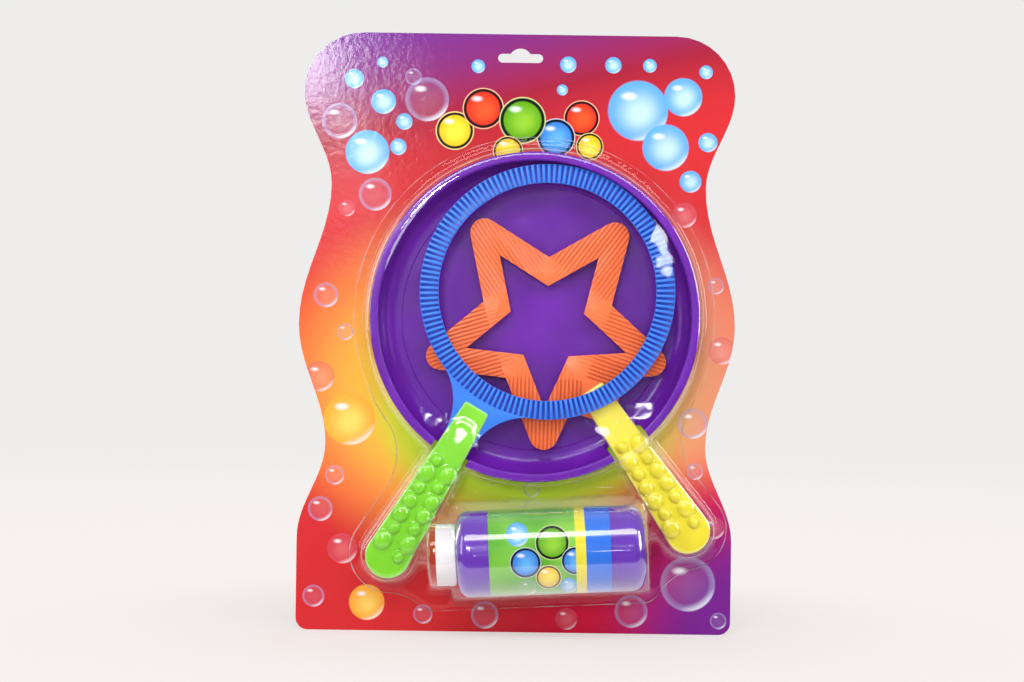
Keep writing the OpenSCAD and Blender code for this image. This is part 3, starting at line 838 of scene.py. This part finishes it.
def star_skin():
    """Moulded plastic with painted shade in the grooves that run along the star's arms."""
    s = Finish("star_plastic")
    colour = colours().star
    shift = s.vector("SUBTRACT", s.place(), (STAR_CENTRE.x, 0, STAR_CENTRE.y))
    across, _, up = s.axes(shift)
    flat = s.vector("MULTIPLY", shift, (1, 0, 1))
    reach = s.reach(flat)
    # Angle from the nearest arm's axis
    arm_step = math.tau / STAR_ARMS
    first_arm = STAR_LEAN - math.pi / 2 - arm_step / 2
    turn = s.less(s.math("ARCTAN2", up, across), first_arm)
    nearest = s.times(s.math("ROUND", s.math("DIVIDE", turn, arm_step)), arm_step)
    off_axis = s.less(turn, nearest)
    lane = s.math("DIVIDE", s.times(reach, s.math("SINE", off_axis)), sizes().ridge_pitch)
    beside = s.math("ABSOLUTE", s.less(lane, s.math("ROUND", lane)))
    # Plain where two arms meet
    to_next = s.less(arm_step / 2, s.math("ABSOLUTE", off_axis))
    from_seam = s.times(reach, s.math("SINE", to_next))
    groove = s.times(s.step(beside, 0.28, 0.1), s.step(from_seam, 3 * MM, 6 * MM))
    base = s.flow_marks(flat, 30.0, colour, 0.95, 1.05)
    # Painted shade: the grooves are coloured darker, as shade falls in them
    return s.plastic(
        Base_Color=s.mix(s.times(groove, 0.4), base, scaled(colour, 0.6)),
        Roughness=0.34,
        Normal=s.bump(s.less(1.0, groove), RIDGE_RELIEF, 0.4),
    )


def ring_skin():
    """Moulded plastic with painted shade, a deeper blue, at the foot of the ring's grooves."""
    s = Finish("ring_plastic")
    place = s.place()
    depth = sizes().groove_depth
    face = -RING_CENTRE.z - sizes().head_t / 2
    top = s.flow_marks(place, 30.0, colours().ring, 0.94, 1.05)
    # Painted shade: deeper blue towards the foot of the grooves, where shade falls
    sunk_shade = s.step(s.axes(place)["Y"], face + 0.25 * depth, face + 0.95 * depth)
    return s.plastic(
        Base_Color=s.mix(sunk_shade, top, rgb(colours().ring_groove_shade)),
        Roughness=0.3,
        Normal=s.bump(s.noise(place, 1000.0), SKIN_GRAIN),
    )


# Pieces


def dish_profile():
    """Profile of the dish: its underside, its rolled lip and its coved inside."""
    z = sizes()
    wall_r = DISH_R - z.lip_w
    cove = (z.dish_floor_r, z.cove_h)
    reach = wall_r - z.dish_floor_r
    skirt_r = DISH_R - z.dish_wall / 2
    under_lip = DISH_H - z.dish_wall
    skirt_foot = DISH_H - z.lip_drop
    inner = z.cove_h - z.dish_floor_t - z.step_h
    step_r = z.dish_floor_r - z.step_w
    return (
        [(0, 0)]
        + oval_arc(cove, reach + z.dish_wall, z.cove_h, -90, 0, 16)
        + [(wall_r + z.dish_wall, under_lip), (skirt_r, under_lip)]
        + [(skirt_r, skirt_foot), (DISH_R, skirt_foot)]
        + arc((DISH_R - z.lip_edge_r, DISH_H - z.lip_edge_r), z.lip_edge_r, 0, 90, 6)
        + arc((wall_r + z.lip_edge_r, DISH_H - z.lip_edge_r), z.lip_edge_r, 90, 180, 6)
        + oval_arc(cove, reach, inner, 0, -90, 16)
        + [(step_r, z.dish_floor_t + z.step_h), (step_r - z.step_h, z.dish_floor_t), (0, z.dish_floor_t)]
    )


def handle_width(along):
    """Width of a handle at a distance from its square end."""
    z = sizes()
    return z.handle_w + (z.handle_end_w - z.handle_w) * along / (z.handle_len - z.handle_end_w / 2)


def wall_reach(centre, lean):
    """Distance along a wand's axis from its head's centre to the dish's edge."""
    shift = centre - DISH_MID
    along = shift.x * math.sin(lean) - shift.y * math.cos(lean)
    across = shift.x * shift.x + shift.y * shift.y
    return math.sqrt(DISH_R * DISH_R - across + along * along) - along


def notch_cutter(centre, lean, stem, depth):
    """Cutter for a handle's notch through the dish's wall, on the lying card."""
    z = sizes()
    width = handle_width(wall_reach(centre, lean) - stem) / 2 + z.notch_room
    corner = z.notch_room
    half = arc((width - corner, corner), corner, -90, 0, 6) + [(width, DISH_H)]
    cutter = extruded("notch_cutter", mirrored(half), 0, z.handle_len)
    put(cutter, upright())
    moved(cutter, 0, -stem, -depth - NOTCH_GAP)
    return put(cutter, wand_place(centre, lean))


def handle_outline():
    """Outline of a handle, its square end at the origin and its round end down -y."""
    z = sizes()
    end_r, side = z.handle_end_w / 2, z.handle_w / 2
    middle = -z.handle_len + end_r
    slope = math.degrees(math.atan2(end_r - side, -middle))
    return mirrored([(side, 0)] + arc((0, middle), end_r, slope, -84, 16))


def grip_bumps():
    """Places and sizes of the grip bumps in two staggered columns: across, along and radius."""
    z = sizes()
    grip = z.handle_len - z.plain_len - z.handle_end_w / 2
    rows = math.floor(grip / (ROW_SHARE * z.bump_r))
    pitch = grip / rows
    for row in range(rows):
        for side in (-1, 1):
            beat = math.sin(math.radians(ROW_BEAT * row + SIDE_BEAT * side))
            along = z.plain_len + (row + 0.5 + side * STAGGER_SHARE) * pitch
            across = side * (handle_width(along) / 4 + SWAY_SHARE * z.bump_r * beat)
            yield across, along, z.bump_r * (1 + VARY_SHARE * beat)


def grip_handle(name, centre, lean, stem):
    """A flat handle with soft grip bumps on both faces and a slot for the wand head."""
    z = sizes()
    body = extruded(name, handle_outline(), -z.handle_t / 2, z.handle_t / 2)
    rounded(body, z.handle_edge_r, 4, 50)
    bumps = []
    for across, along, radius in grip_bumps():
        for face in (-1, 1):
            deselect()
            bpy.ops.mesh.primitive_uv_sphere_add(segments=24, ring_count=14, radius=1)
            place = Matrix.Translation((across, -along, face * z.handle_t / 2))
            shape = Matrix.Diagonal((radius, radius * LONG_SHARE, z.bump_h, 1))
            bumps.append(put(bpy.context.object, place @ shape))
    body = joined(body, *bumps)
    applied(body, "REMESH", mode="VOXEL", voxel_size=GRIP_VOXEL)
    applied(body, "SMOOTH", factor=0.5, iterations=2)
    slot_t = z.head_t / 2 + FIT_GAP
    side = z.handle_end_w / 2
    slot_end = -z.handle_slot_len
    slot_outline = [(-side, slot_end), (side, slot_end), (side, OVERRUN), (-side, OVERRUN)]
    cut(body, extruded("slot_cutter", slot_outline, -slot_t, slot_t))
    mark_grip(body)
    moved(body, 0, -stem, 0)
    return stood(body, 50, wand_place(centre, lean))


def mark_grip(body):
    """Stores on each vertex its nearness to a bump's crease and to the handle's edge, for painted shade and
    a painted highlight, and to a bump's top.
    """
    z = sizes()
    bumps = list(grip_bumps())
    middle = z.handle_len - z.handle_end_w / 2
    crease_at, crease_w = CREASE_SHARES
    attributes = body.data.attributes
    for mark in GRIP_MARKS:
        attributes.new(mark, "FLOAT", "POINT")
    crease_shade, rim, dome = [attributes[mark].data for mark in GRIP_MARKS]
    for i, vertex in enumerate(body.data.vertices):
        x, along, _ = vertex.co * Vector((1, -1, 1))
        reach = min(
            math.hypot(x - across, (along - spot) / LONG_SHARE) / radius for across, spot, radius in bumps
        )
        # Nearness to a crease, for painted shade
        crease_shade[i].value = max(0, 1 - abs(reach - crease_at) / crease_w)
        dome[i].value = max(0, 1 - reach * reach)
        # Nearness to the edge, for a painted highlight
        if along > middle:
            room = z.handle_end_w / 2 - math.hypot(x, along - middle)
        else:
            room = min(handle_width(along) / 2 - abs(x), along)
        rim[i].value = max(0, 1 - room / GRIP_HIGHLIGHT_W)


class OBJECT_OT_bubble_set_card(bpy.types.Operator):
    """Print the card's front and leave its back and edges as bare board."""

    bl_idname = "object.bubble_set_card"
    bl_label = "Printed card"

    def execute(self, context):
        dress(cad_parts["backing_card"], card_print())
        return {"FINISHED"}


class OBJECT_OT_bubble_set_dish(bpy.types.Operator):
    """Turn the dip dish and cut its two notches."""

    bl_idname = "object.bubble_set_dish"
    bl_label = "Dip dish"

    def execute(self, context):
        z = sizes()
        dish = moved(turned("dish", dish_profile(), DISH_STEPS), DISH_MID.x, DISH_MID.y, CARD_T)
        cut(dish, notch_cutter(RING_CENTRE, RING_LEAN, z.ring_stem, z.handle_t / 2))
        cut(dish, notch_cutter(STAR_CENTRE, STAR_LEAN, z.star_stem, z.handle_t / 2 + z.bump_h))
        stood(dish, 30)
        finish_piece(dish, "pack", "dip_dish", moulded("dish_plastic", colours().dish, 0.22))
        return {"FINISHED"}


class OBJECT_OT_bubble_set_ring(bpy.types.Operator):
    """Model the ring head: a thin core, two rims, rounded fins and the flared yoke."""

    bl_idname = "object.bubble_set_ring"
    bl_label = "Ring head"

    def execute(self, context):
        z = sizes()
        core = z.head_t / 2 - z.groove_depth
        top = z.head_t / 2 - RIM_DROP
        inner, outer = z.ring_r - z.ring_band_w, z.ring_r
        rim_in, rim_out = inner + z.ring_rim_w, outer - z.ring_rim_w
        under = [(inner, -top), (rim_in, -top), (rim_in, -core)]
        under += [(rim_out, -core), (rim_out, -top), (outer, -top)]
        section = under + [(r, -height) for r, height in reversed(under)]
        ring = rounded(turned("ring", section, RING_STEPS, closed=True), FINE_ROUND, 2)
        fins = self.fin(inner)
        edit(fins)
        bpy.ops.mesh.spin(steps=FIN_COUNT, angle=math.tau, dupli=True, center=(0, 0, 0), axis=(0, 0, 1))
        close_edit()
        clean(fins)
        ring = joined(ring, fins, self.yoke())
        stood(ring, 45, wand_place(RING_CENTRE, RING_LEAN))
        finish_piece(ring, "pack", "ring_head", ring_skin())
        return {"FINISHED"}

    def fin(self, inner):
        """One fin across the ring's band, half a step from the first groove."""
        z = sizes()
        middle = inner + z.ring_band_w / 2
        pitch = math.tau * middle / FIN_COUNT
        fin = block("fin", z.ring_band_w - 0.4 * z.ring_rim_w, pitch - z.groove_w, z.head_t)
        rounded(fin, FIN_ROUND, 3)
        return put(fin, Matrix.Rotation(math.pi / FIN_COUNT, 4, "Z") @ Matrix.Translation((middle, 0, 0)))

    def yoke(self):
        """Flared yoke with its tang in the handle's slot."""
        z = sizes()
        side = handle_width(z.handle_slot_len) / 2
        seat_r = z.ring_r - YOKE_SINK
        along = math.sqrt((seat_r + z.yoke_r) ** 2 - (side + z.yoke_r) ** 2)
        contact = math.degrees(math.atan2(-along, side + z.yoke_r))
        tang = z.handle_w / 2 - z.handle_edge_r
        half = arc((side + z.yoke_r, -along), z.yoke_r, contact + 180, 180, 20)
        half += [(tang, -along), (tang, FIT_GAP - z.ring_stem - z.handle_slot_len)]
        seat = arc((0, 0), seat_r, -180 - contact, contact, 24)[1:-1]
        top = z.head_t / 2 - FIT_GAP
        return rounded(extruded("yoke", mirrored(half) + seat, -top, top), YOKE_ROUND, 2)


class OBJECT_OT_bubble_set_star(bpy.types.Operator):
    """Round the edges of the ridged star head."""

    bl_idname = "object.bubble_set_star"
    bl_label = "Star head"

    def execute(self, context):
        star = copied("star_head", "star")
        edit(star)
        bpy.ops.mesh.dissolve_limited(angle_limit=math.radians(2))
        close_edit()
        smooth(rounded(star, FINE_ROUND, 2), 40)
        finish_piece(star, "pack", "star_head", star_skin())
        return {"FINISHED"}


class OBJECT_OT_bubble_set_handles(bpy.types.Operator):
    """Model the two handles with their grip bumps."""

    bl_idname = "object.bubble_set_handles"
    bl_label = "Wand handles"

    def execute(self, context):
        z = sizes()
        green = grip_handle("green_handle", RING_CENTRE, RING_LEAN, z.ring_stem)
        yellow = grip_handle("yellow_handle", STAR_CENTRE, STAR_LEAN, z.star_stem)
        green_skin = gripped("green_grip", colours().green, 0.24)
        yellow_skin = gripped("yellow_grip", colours().yellow, 0.12)
        finish_piece(green, "pack", "ring_handle", green_skin)
        finish_piece(yellow, "pack", "star_handle", yellow_skin)
        return {"FINISHED"}


class OBJECT_OT_bubble_set_bottle(bpy.types.Operator):
    """Turn the bottle and its label."""

    bl_idname = "object.bubble_set_bottle"
    bl_label = "Bottle and label"

    def execute(self, context):
        z = sizes()
        top = z.bottle_len + z.neck_h
        bore = z.neck_r - NECK_WALL
        base = (z.bottle_r - BASE_ROUND, BASE_ROUND)
        shoulder = (z.bottle_r - SHOULDER_ROUND, z.bottle_len - SHOULDER_ROUND)
        profile = (
            [(0, 0)]
            + arc(base, BASE_ROUND, -90, 0, 16)
            + arc(shoulder, SHOULDER_ROUND, 0, 90, 16)
            + [(z.neck_r, z.bottle_len), (z.neck_r, top), (bore, top), (bore, z.bottle_len - BOTTLE_WALL)]
            + arc(shoulder, SHOULDER_ROUND - BOTTLE_WALL, 90, 0, 8)
            + arc(base, BASE_ROUND - BOTTLE_WALL, 0, -90, 8)
            + [(0, BOTTLE_WALL)]
        )
        bottle = stood(turned("bottle", profile), 40, bottle_place())
        skin = moulded("bottle_plastic", colours().bottle, 0.14, specular=1.0)
        finish_piece(bottle, "pack", "bottle_body", skin)
        inner_r = z.bottle_r + LABEL_GAP
        outer_r = inner_r + LABEL_T
        end = z.label_start + z.label_len
        band = [(inner_r, z.label_start), (outer_r, z.label_start), (outer_r, end), (inner_r, end)]
        label = stood(turned("label", band, closed=True), 40, bottle_place())
        finish_piece(label, "pack", "bottle_label", label_print())
        return {"FINISHED"}


class OBJECT_OT_bubble_set_cap(bpy.types.Operator):
    """Turn the screw cap and finish the seal and the liner under it."""

    bl_idname = "object.bubble_set_cap"
    bl_label = "Screw cap"

    def execute(self, context):
        z = sizes()
        foot = z.bottle_len + CAP_FOOT_GAP
        top = z.bottle_len + z.neck_h + CAP_RISE
        inner_top = top - CAP_TOP_T
        bore = z.cap_r - CAP_WALL
        profile = (
            [(0, inner_top), (bore, inner_top), (bore, foot)]
            + [(z.cap_r - CAP_LIP, foot), (z.cap_r, foot + CAP_LIP)]
            + arc((z.cap_r - CAP_EDGE_R, top - CAP_EDGE_R), CAP_EDGE_R, 0, 90, 8)
            + [(0, top)]
        )
        cap = stood(turned("cap", profile), 40, bottle_place())
        skin = moulded("cap_plastic", colours().cap, 0.4, 0.97, 1.0)
        finish_piece(cap, "cap", "bottle_cap", skin)
        foil = moulded("foil_seal_skin", (0.75, 0.75, 0.77), 0.3)
        foam = moulded("cap_liner_skin", (0.8, 0.8, 0.8), 0.7)
        dress(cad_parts["foil_seal"], foil)
        dress(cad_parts["cap_liner"], foam)
        return {"FINISHED"}


def round_pocket(radius, height):
    """Round pocket with leaning walls and a rounded top, from below the card's front up to a height."""
    z = sizes()
    edge = z.pocket_edge_r
    foot = radius + z.pocket_draft + z.sheet_t
    profile = (
        [(0, CARD_T - POCKET_SINK), (foot, CARD_T - POCKET_SINK), (foot, CARD_T)]
        + arc((radius - edge, height - edge), edge + z.sheet_t, 0, 90, 8)
        + [(0, height + z.sheet_t)]
    )
    return turned("pocket", profile, POCKET_STEPS)


class OBJECT_OT_bubble_set_blister(bpy.types.Operator):
    """Form the clear blister over its pockets."""

    bl_idname = "object.bubble_set_blister"
    bl_label = "Blister"

    def execute(self, context):
        z = sizes()
        pockets = [self.dish_pocket(), self.bottle_pocket(), self.cap_pocket(), self.flange()]
        pockets.append(self.handle_pocket(RING_CENTRE, RING_LEAN, z.ring_stem, DISH_POCKET_H))
        pockets.append(self.handle_pocket(STAR_CENTRE, STAR_LEAN, z.star_stem, STAR_POCKET_H))
        sheet = joined(*pockets, *self.channels())
        sheet.name = "blister_sheet"
        applied(sheet, "REMESH", mode="VOXEL", voxel_size=SHEET_VOXEL)
        applied(sheet, "SMOOTH", factor=0.5, iterations=8)
        edit(sheet)
        bpy.ops.mesh.bisect(
            plane_co=(0, 0, CARD_T + FIT_GAP), plane_no=(0, 0, 1), clear_inner=True, use_fill=False
        )
        close_edit()
        applied(sheet, "SOLIDIFY", thickness=0.8 * z.sheet_t, offset=-1)
        stood(sheet, 60)
        edge = self.cut_edge()
        finish_piece(sheet, "pack", "blister", clear_sheet())
        finish_piece(edge, "pack", "blister", cut_sheet())
        return {"FINISHED"}

    def cut_edge(self):
        """The flange's cut edge, which catches light all round."""
        z = sizes()
        edge = put(copied("blister", "blister_edge"), upright().inverted())
        middle = CARD_T + z.sheet_t / 2
        keep_faces(
            edge, lambda face: abs(face.normal.z) < 0.1 and abs(face.center.z - middle) < 0.3 * z.sheet_t
        )
        return stood(applied(edge, "SOLIDIFY", thickness=CUT_EDGE_W, offset=-1), 40)

    def dish_pocket(self):
        """Round pocket over the dish."""
        z = sizes()
        pocket = round_pocket(DISH_R + z.pocket_margin - z.pocket_draft, DISH_POCKET_H)
        return moved(pocket, DISH_MID.x, DISH_MID.y, 0)

    def handle_pocket(self, centre, lean, stem, height):
        """Long pocket over a handle."""
        z = sizes()
        room = z.pocket_margin - z.pocket_draft
        near = moved(round_pocket(z.handle_w / 2 + room, height), 0, -stem - z.plain_len / 2, 0)
        end = -stem - z.handle_len + z.handle_end_w / 2
        far = moved(round_pocket(z.handle_end_w / 2 + room, height), 0, end, 0)
        flat = Vector((centre.x, centre.y, 0))
        return put(hulled(near, far), wand_place(flat, lean))

    def foot_block(self, start, end, half):
        """Block under the lower half of the bottle or of its cap, in the bottle's frame."""
        z = sizes()
        spread = z.pocket_margin + z.sheet_t
        depth = POCKET_SINK + CARD_T
        foot = block("foot", depth, 2 * (half + spread), end - start + 2 * spread)
        below = -BOTTLE_CENTRE.z + CARD_T - POCKET_SINK + depth / 2
        return moved(foot, below, 0, (start + end) / 2)

    def bottle_pocket(self):
        """Pocket over the bottle's body."""
        z = sizes()
        room = CONTENT_ROOM + z.sheet_t
        shoulder = (z.bottle_r - SHOULDER_ROUND, z.bottle_len - SHOULDER_ROUND)
        profile = (
            [(0, -room)]
            + arc((z.bottle_r - BASE_ROUND, BASE_ROUND), BASE_ROUND + room, -90, 0, 8)
            + arc(shoulder, SHOULDER_ROUND + room, 0, 90, 8)
            + [(0, z.bottle_len + room)]
        )
        body = turned("body_pocket", profile, BOTTLE_POCKET_STEPS)
        return put(hulled(body, self.foot_block(0, z.bottle_len, z.bottle_r)), bottle_place())

    def cap_pocket(self):
        """Pocket over the cap with room for its travel."""
        z = sizes()
        side = z.cap_r + CONTENT_ROOM + z.sheet_t
        end = z.bottle_len + z.neck_h + CAP_REACH + z.sheet_t
        start = z.bottle_len - SHOULDER_ROUND
        corner = (side - CAP_POCKET_ROUND, end - CAP_POCKET_ROUND)
        profile = [(0, start), (side, start)] + arc(corner, CAP_POCKET_ROUND, 0, 90, 6) + [(0, end)]
        body = turned("cap_pocket", profile, POCKET_STEPS)
        foot = self.foot_block(z.bottle_len, end - z.pocket_margin - z.sheet_t, z.cap_r)
        return put(hulled(body, foot), bottle_place())

    def channels(self):
        """Low channels from the bottle's pocket to both handles' pockets."""
        z = sizes()
        half = z.channel_w / 2 - z.pocket_draft
        reach = z.handle_len - z.handle_end_w
        ring_spot = wand_place(RING_CENTRE, RING_LEAN) @ Vector((0, -z.ring_stem - reach, 0))
        star_spot = wand_place(STAR_CENTRE, STAR_LEAN) @ Vector((0, -z.star_stem - reach, 0))
        left = (BOTTLE_CENTRE.x - z.bottle_len / 2, BOTTLE_CENTRE.y)
        right = (BOTTLE_CENTRE.x + z.bottle_len / 2 - z.channel_w, BOTTLE_CENTRE.y + z.channel_w / 2)
        made = []
        for spots in ((left, ring_spot), (right, star_spot)):
            ends = [moved(round_pocket(half, z.channel_h), spot[0], spot[1], 0) for spot in spots]
            made.append(hulled(*ends))
        return made

    def flange(self):
        """Thick plate with the outline of the solid's flange, lying on the card."""
        z = sizes()
        plate = put(copied("blister", "flange"), upright().inverted())
        top = CARD_T + z.sheet_t
        keep_faces(plate, lambda face: face.normal.z > 0.99 and abs(face.center.z - top) < 0.1 * z.sheet_t)
        return thickened(plate, -z.sheet_t - POCKET_SINK)


# Lamps: name, role, place, aim, width, height and power. A glare shows only as its image on the sheet.
BOTH, LIGHT, GLARE = "both", "light", "glare"
CARD_AIM = (0, 0, -0.2)
LAMPS = (
    ("key_box", BOTH, (0.05, -0.95, 0.66), CARD_AIM, 1.8, 0.33, 11.0),
    ("left_box", BOTH, (-1.1, -0.55, 0.1), CARD_AIM, 0.35, 0.9, 2.5),
    ("right_box", BOTH, (1.1, -0.55, 0.1), CARD_AIM, 0.35, 0.9, 2.5),
    ("corner_box", BOTH, (-0.34, -1.5, 0.24), (-0.12, 0, 0), 0.16, 0.22, 5.0),
    ("front_fill", LIGHT, (0, -1.5, -0.15), CARD_AIM, 0.7, 0.7, 4.0),
    ("left_strip", GLARE, (-1.05, 0.4, 0.15), CARD_AIM, 0.35, 0.9, 3.0),
    ("right_strip", GLARE, (1.12, -0.56, 0.1), CARD_AIM, 0.35, 0.9, 7.0),
    ("veil_box", GLARE, (-0.26, -1.5, 0.02), (-0.13, 0, -0.095), 0.12, 0.2, 0.36),
    ("high_window", GLARE, (0.21, -1.4, -0.06), (0.1, 0, -0.13), 0.032, 0.075, 0.07),
    ("low_window", GLARE, (0.13, -1.4, -0.321), (0.06, 0, -0.26), 0.03, 0.03, 0.03),
    ("side_window", GLARE, (0.177, -1.4, -0.302), (0.09, 0, -0.25), 0.017, 0.008, 0.008),
    ("dish_window", GLARE, (-0.118, -1.4, -0.314), (-0.06, 0, -0.26), 0.013, 0.009, 0.006),
    ("left_window", GLARE, (-0.08, -1.4, -0.33), (-0.04, 0, -0.26), 0.03, 0.009, 0.011),
)
# The floor: size, drop below the card, and where its tone, its shadow and its mirrored strip begin and end
FLOOR_SIZE = 12
FLOOR_DROP = 0.2 * MM
FLOOR_FADE = (0.6, 2.6)
SHADOW_FADE = (0.12, 0.4)
STRIP_EDGE = (-0.16, -0.145)
# The camera
CAMERA_PLACE = (-0.0033, -1.4, -0.201)
CAMERA_ROLL = math.radians(-0.8)
CAMERA_LENS = 69.2
CAMERA_SENSOR = 36


def soft_box(name, role, place, aim, width, height, power):
    """A lamp aimed at a point."""
    bpy.ops.object.light_add(type="AREA", location=place)
    lamp = bpy.context.object
    lamp.name = name
    lamp.data.shape = "ELLIPSE" if role == GLARE else "RECTANGLE"
    lamp.data.size = width
    lamp.data.size_y = height
    lamp.data.energy = power
    lamp.visible_camera = False
    lamp.visible_diffuse = role != GLARE
    lamp.visible_glossy = role != LIGHT
    lamp.rotation_euler = (Vector(aim) - Vector(place)).to_track_quat("-Z", "Y").to_euler()


class OBJECT_OT_bubble_set_stage(bpy.types.Operator):
    """Set up the floor, the soft boxes, the world and the camera."""

    bl_idname = "object.bubble_set_stage"
    bl_label = "Stage"

    def execute(self, context):
        deselect()
        bpy.ops.mesh.primitive_plane_add(size=FLOOR_SIZE, location=(0, 0, CARD_FOOT - FLOOR_DROP))
        floor = context.object
        floor.name = "floor"
        bpy.ops.object.transform_apply(location=True)
        dress(floor, self.floor_material())
        for lamp in LAMPS:
            soft_box(*lamp)
        self.world(context)
        self.camera(context)
        context.scene.view_settings.view_transform = "Standard"
        return {"FINISHED"}

    def floor_material(self):
        """Pale floor that keeps the shadow near the object and fades into the backdrop."""
        s = Finish("pale_floor")
        place = s.place(shift=(0, 0, -CARD_FOOT))
        reach = s.reach(place)
        path = s.node("ShaderNodeLightPath").outputs
        near = s.shader(
            "BsdfPrincipled", Base_Color=(0.82, 0.75, 0.735, 1), Roughness=0.5, Specular_IOR_Level=0.0
        )
        tone = s.mix(s.step(reach, *FLOOR_FADE), rgb(colours().floor), rgb(colours().backdrop))
        # Glossy pieces mirror the strip of bright floor below them, seen steeply
        ahead = s.step(s.axes(place)["Y"], *STRIP_EDGE, 0.0, 1.15)
        strip = s.times(ahead, s.step(s.facing(), 0.7, 0.8, 1.0, 0.0))
        glow = s.plus(s.times(path["Is Glossy Ray"], strip), path["Is Camera Ray"])
        far = s.shader("Emission", Color=tone, Strength=glow)
        seen = s.times(path["Is Camera Ray"], s.step(reach, *SHADOW_FADE, 0.6, 1.0))
        return s.made(s.blend(s.math("MAXIMUM", seen, path["Is Glossy Ray"]), near, far))

    def world(self, context):
        """Even soft light, seen by the camera as the backdrop's colour."""
        world = bpy.data.worlds.new("studio")
        context.scene.world = world
        world.use_nodes = True
        s = Shade(world.node_tree)
        path = s.node("ShaderNodeLightPath").outputs
        # Bright at the sides and above, dim in front, and mirrored more faintly than it lights
        coords = s.node("ShaderNodeTexCoord").outputs["Generated"]
        front = s.step(s.axes(coords)["Y"], -0.98, -0.45, 0.08, 0.54)
        faint = s.step(path["Is Glossy Ray"], 0.0, 1.0, 1.0, 0.55)
        light = s.shader("Background", Color=WHITE, Strength=s.times(front, faint))
        seen = s.shader("Background", Color=rgb(colours().backdrop), Strength=1.0)
        s.node("ShaderNodeOutputWorld", {"Surface": s.blend(path["Is Camera Ray"], light, seen)})

    def camera(self, context):
        """Straight view of the card's front with a slight roll."""
        bpy.ops.object.camera_add(location=CAMERA_PLACE)
        camera = context.object
        camera.data.lens = CAMERA_LENS
        camera.data.sensor_width = CAMERA_SENSOR
        camera.rotation_euler = (math.pi / 2, CAMERA_ROLL, 0)
        context.scene.camera = camera


class VIEW3D_PT_bubble_set(bpy.types.Panel):
    """Sidebar panel with the pieces."""

    bl_label = "Bubble set"
    bl_idname = "VIEW3D_PT_bubble_set"
    bl_space_type = "VIEW_3D"
    bl_region_type = "UI"
    bl_category = "Bubble set"

    def draw(self, context):
        for operator in OPERATORS:
            self.layout.operator(operator.bl_idname)


OPERATORS = (
    OBJECT_OT_bubble_set_card,
    OBJECT_OT_bubble_set_dish,
    OBJECT_OT_bubble_set_ring,
    OBJECT_OT_bubble_set_star,
    OBJECT_OT_bubble_set_handles,
    OBJECT_OT_bubble_set_bottle,
    OBJECT_OT_bubble_set_cap,
    OBJECT_OT_bubble_set_blister,
    OBJECT_OT_bubble_set_stage,
)
CLASSES = (BubbleSetSizes, BubbleSetColours, *OPERATORS, VIEW3D_PT_bubble_set)


def register():
    for made in CLASSES:
        bpy.utils.register_class(made)
    bpy.types.Scene.bubble_set_sizes = bpy.props.PointerProperty(type=BubbleSetSizes)
    bpy.types.Scene.bubble_set_colours = bpy.props.PointerProperty(type=BubbleSetColours)


def unregister():
    del bpy.types.Scene.bubble_set_colours
    del bpy.types.Scene.bubble_set_sizes
    for made in reversed(CLASSES):
        bpy.utils.unregister_class(made)


def main():
    register()
    for operator in OPERATORS:
        group, name = operator.bl_idname.split(".")
        getattr(getattr(bpy.ops, group), name)()


if __name__ == "__main__":
    main()
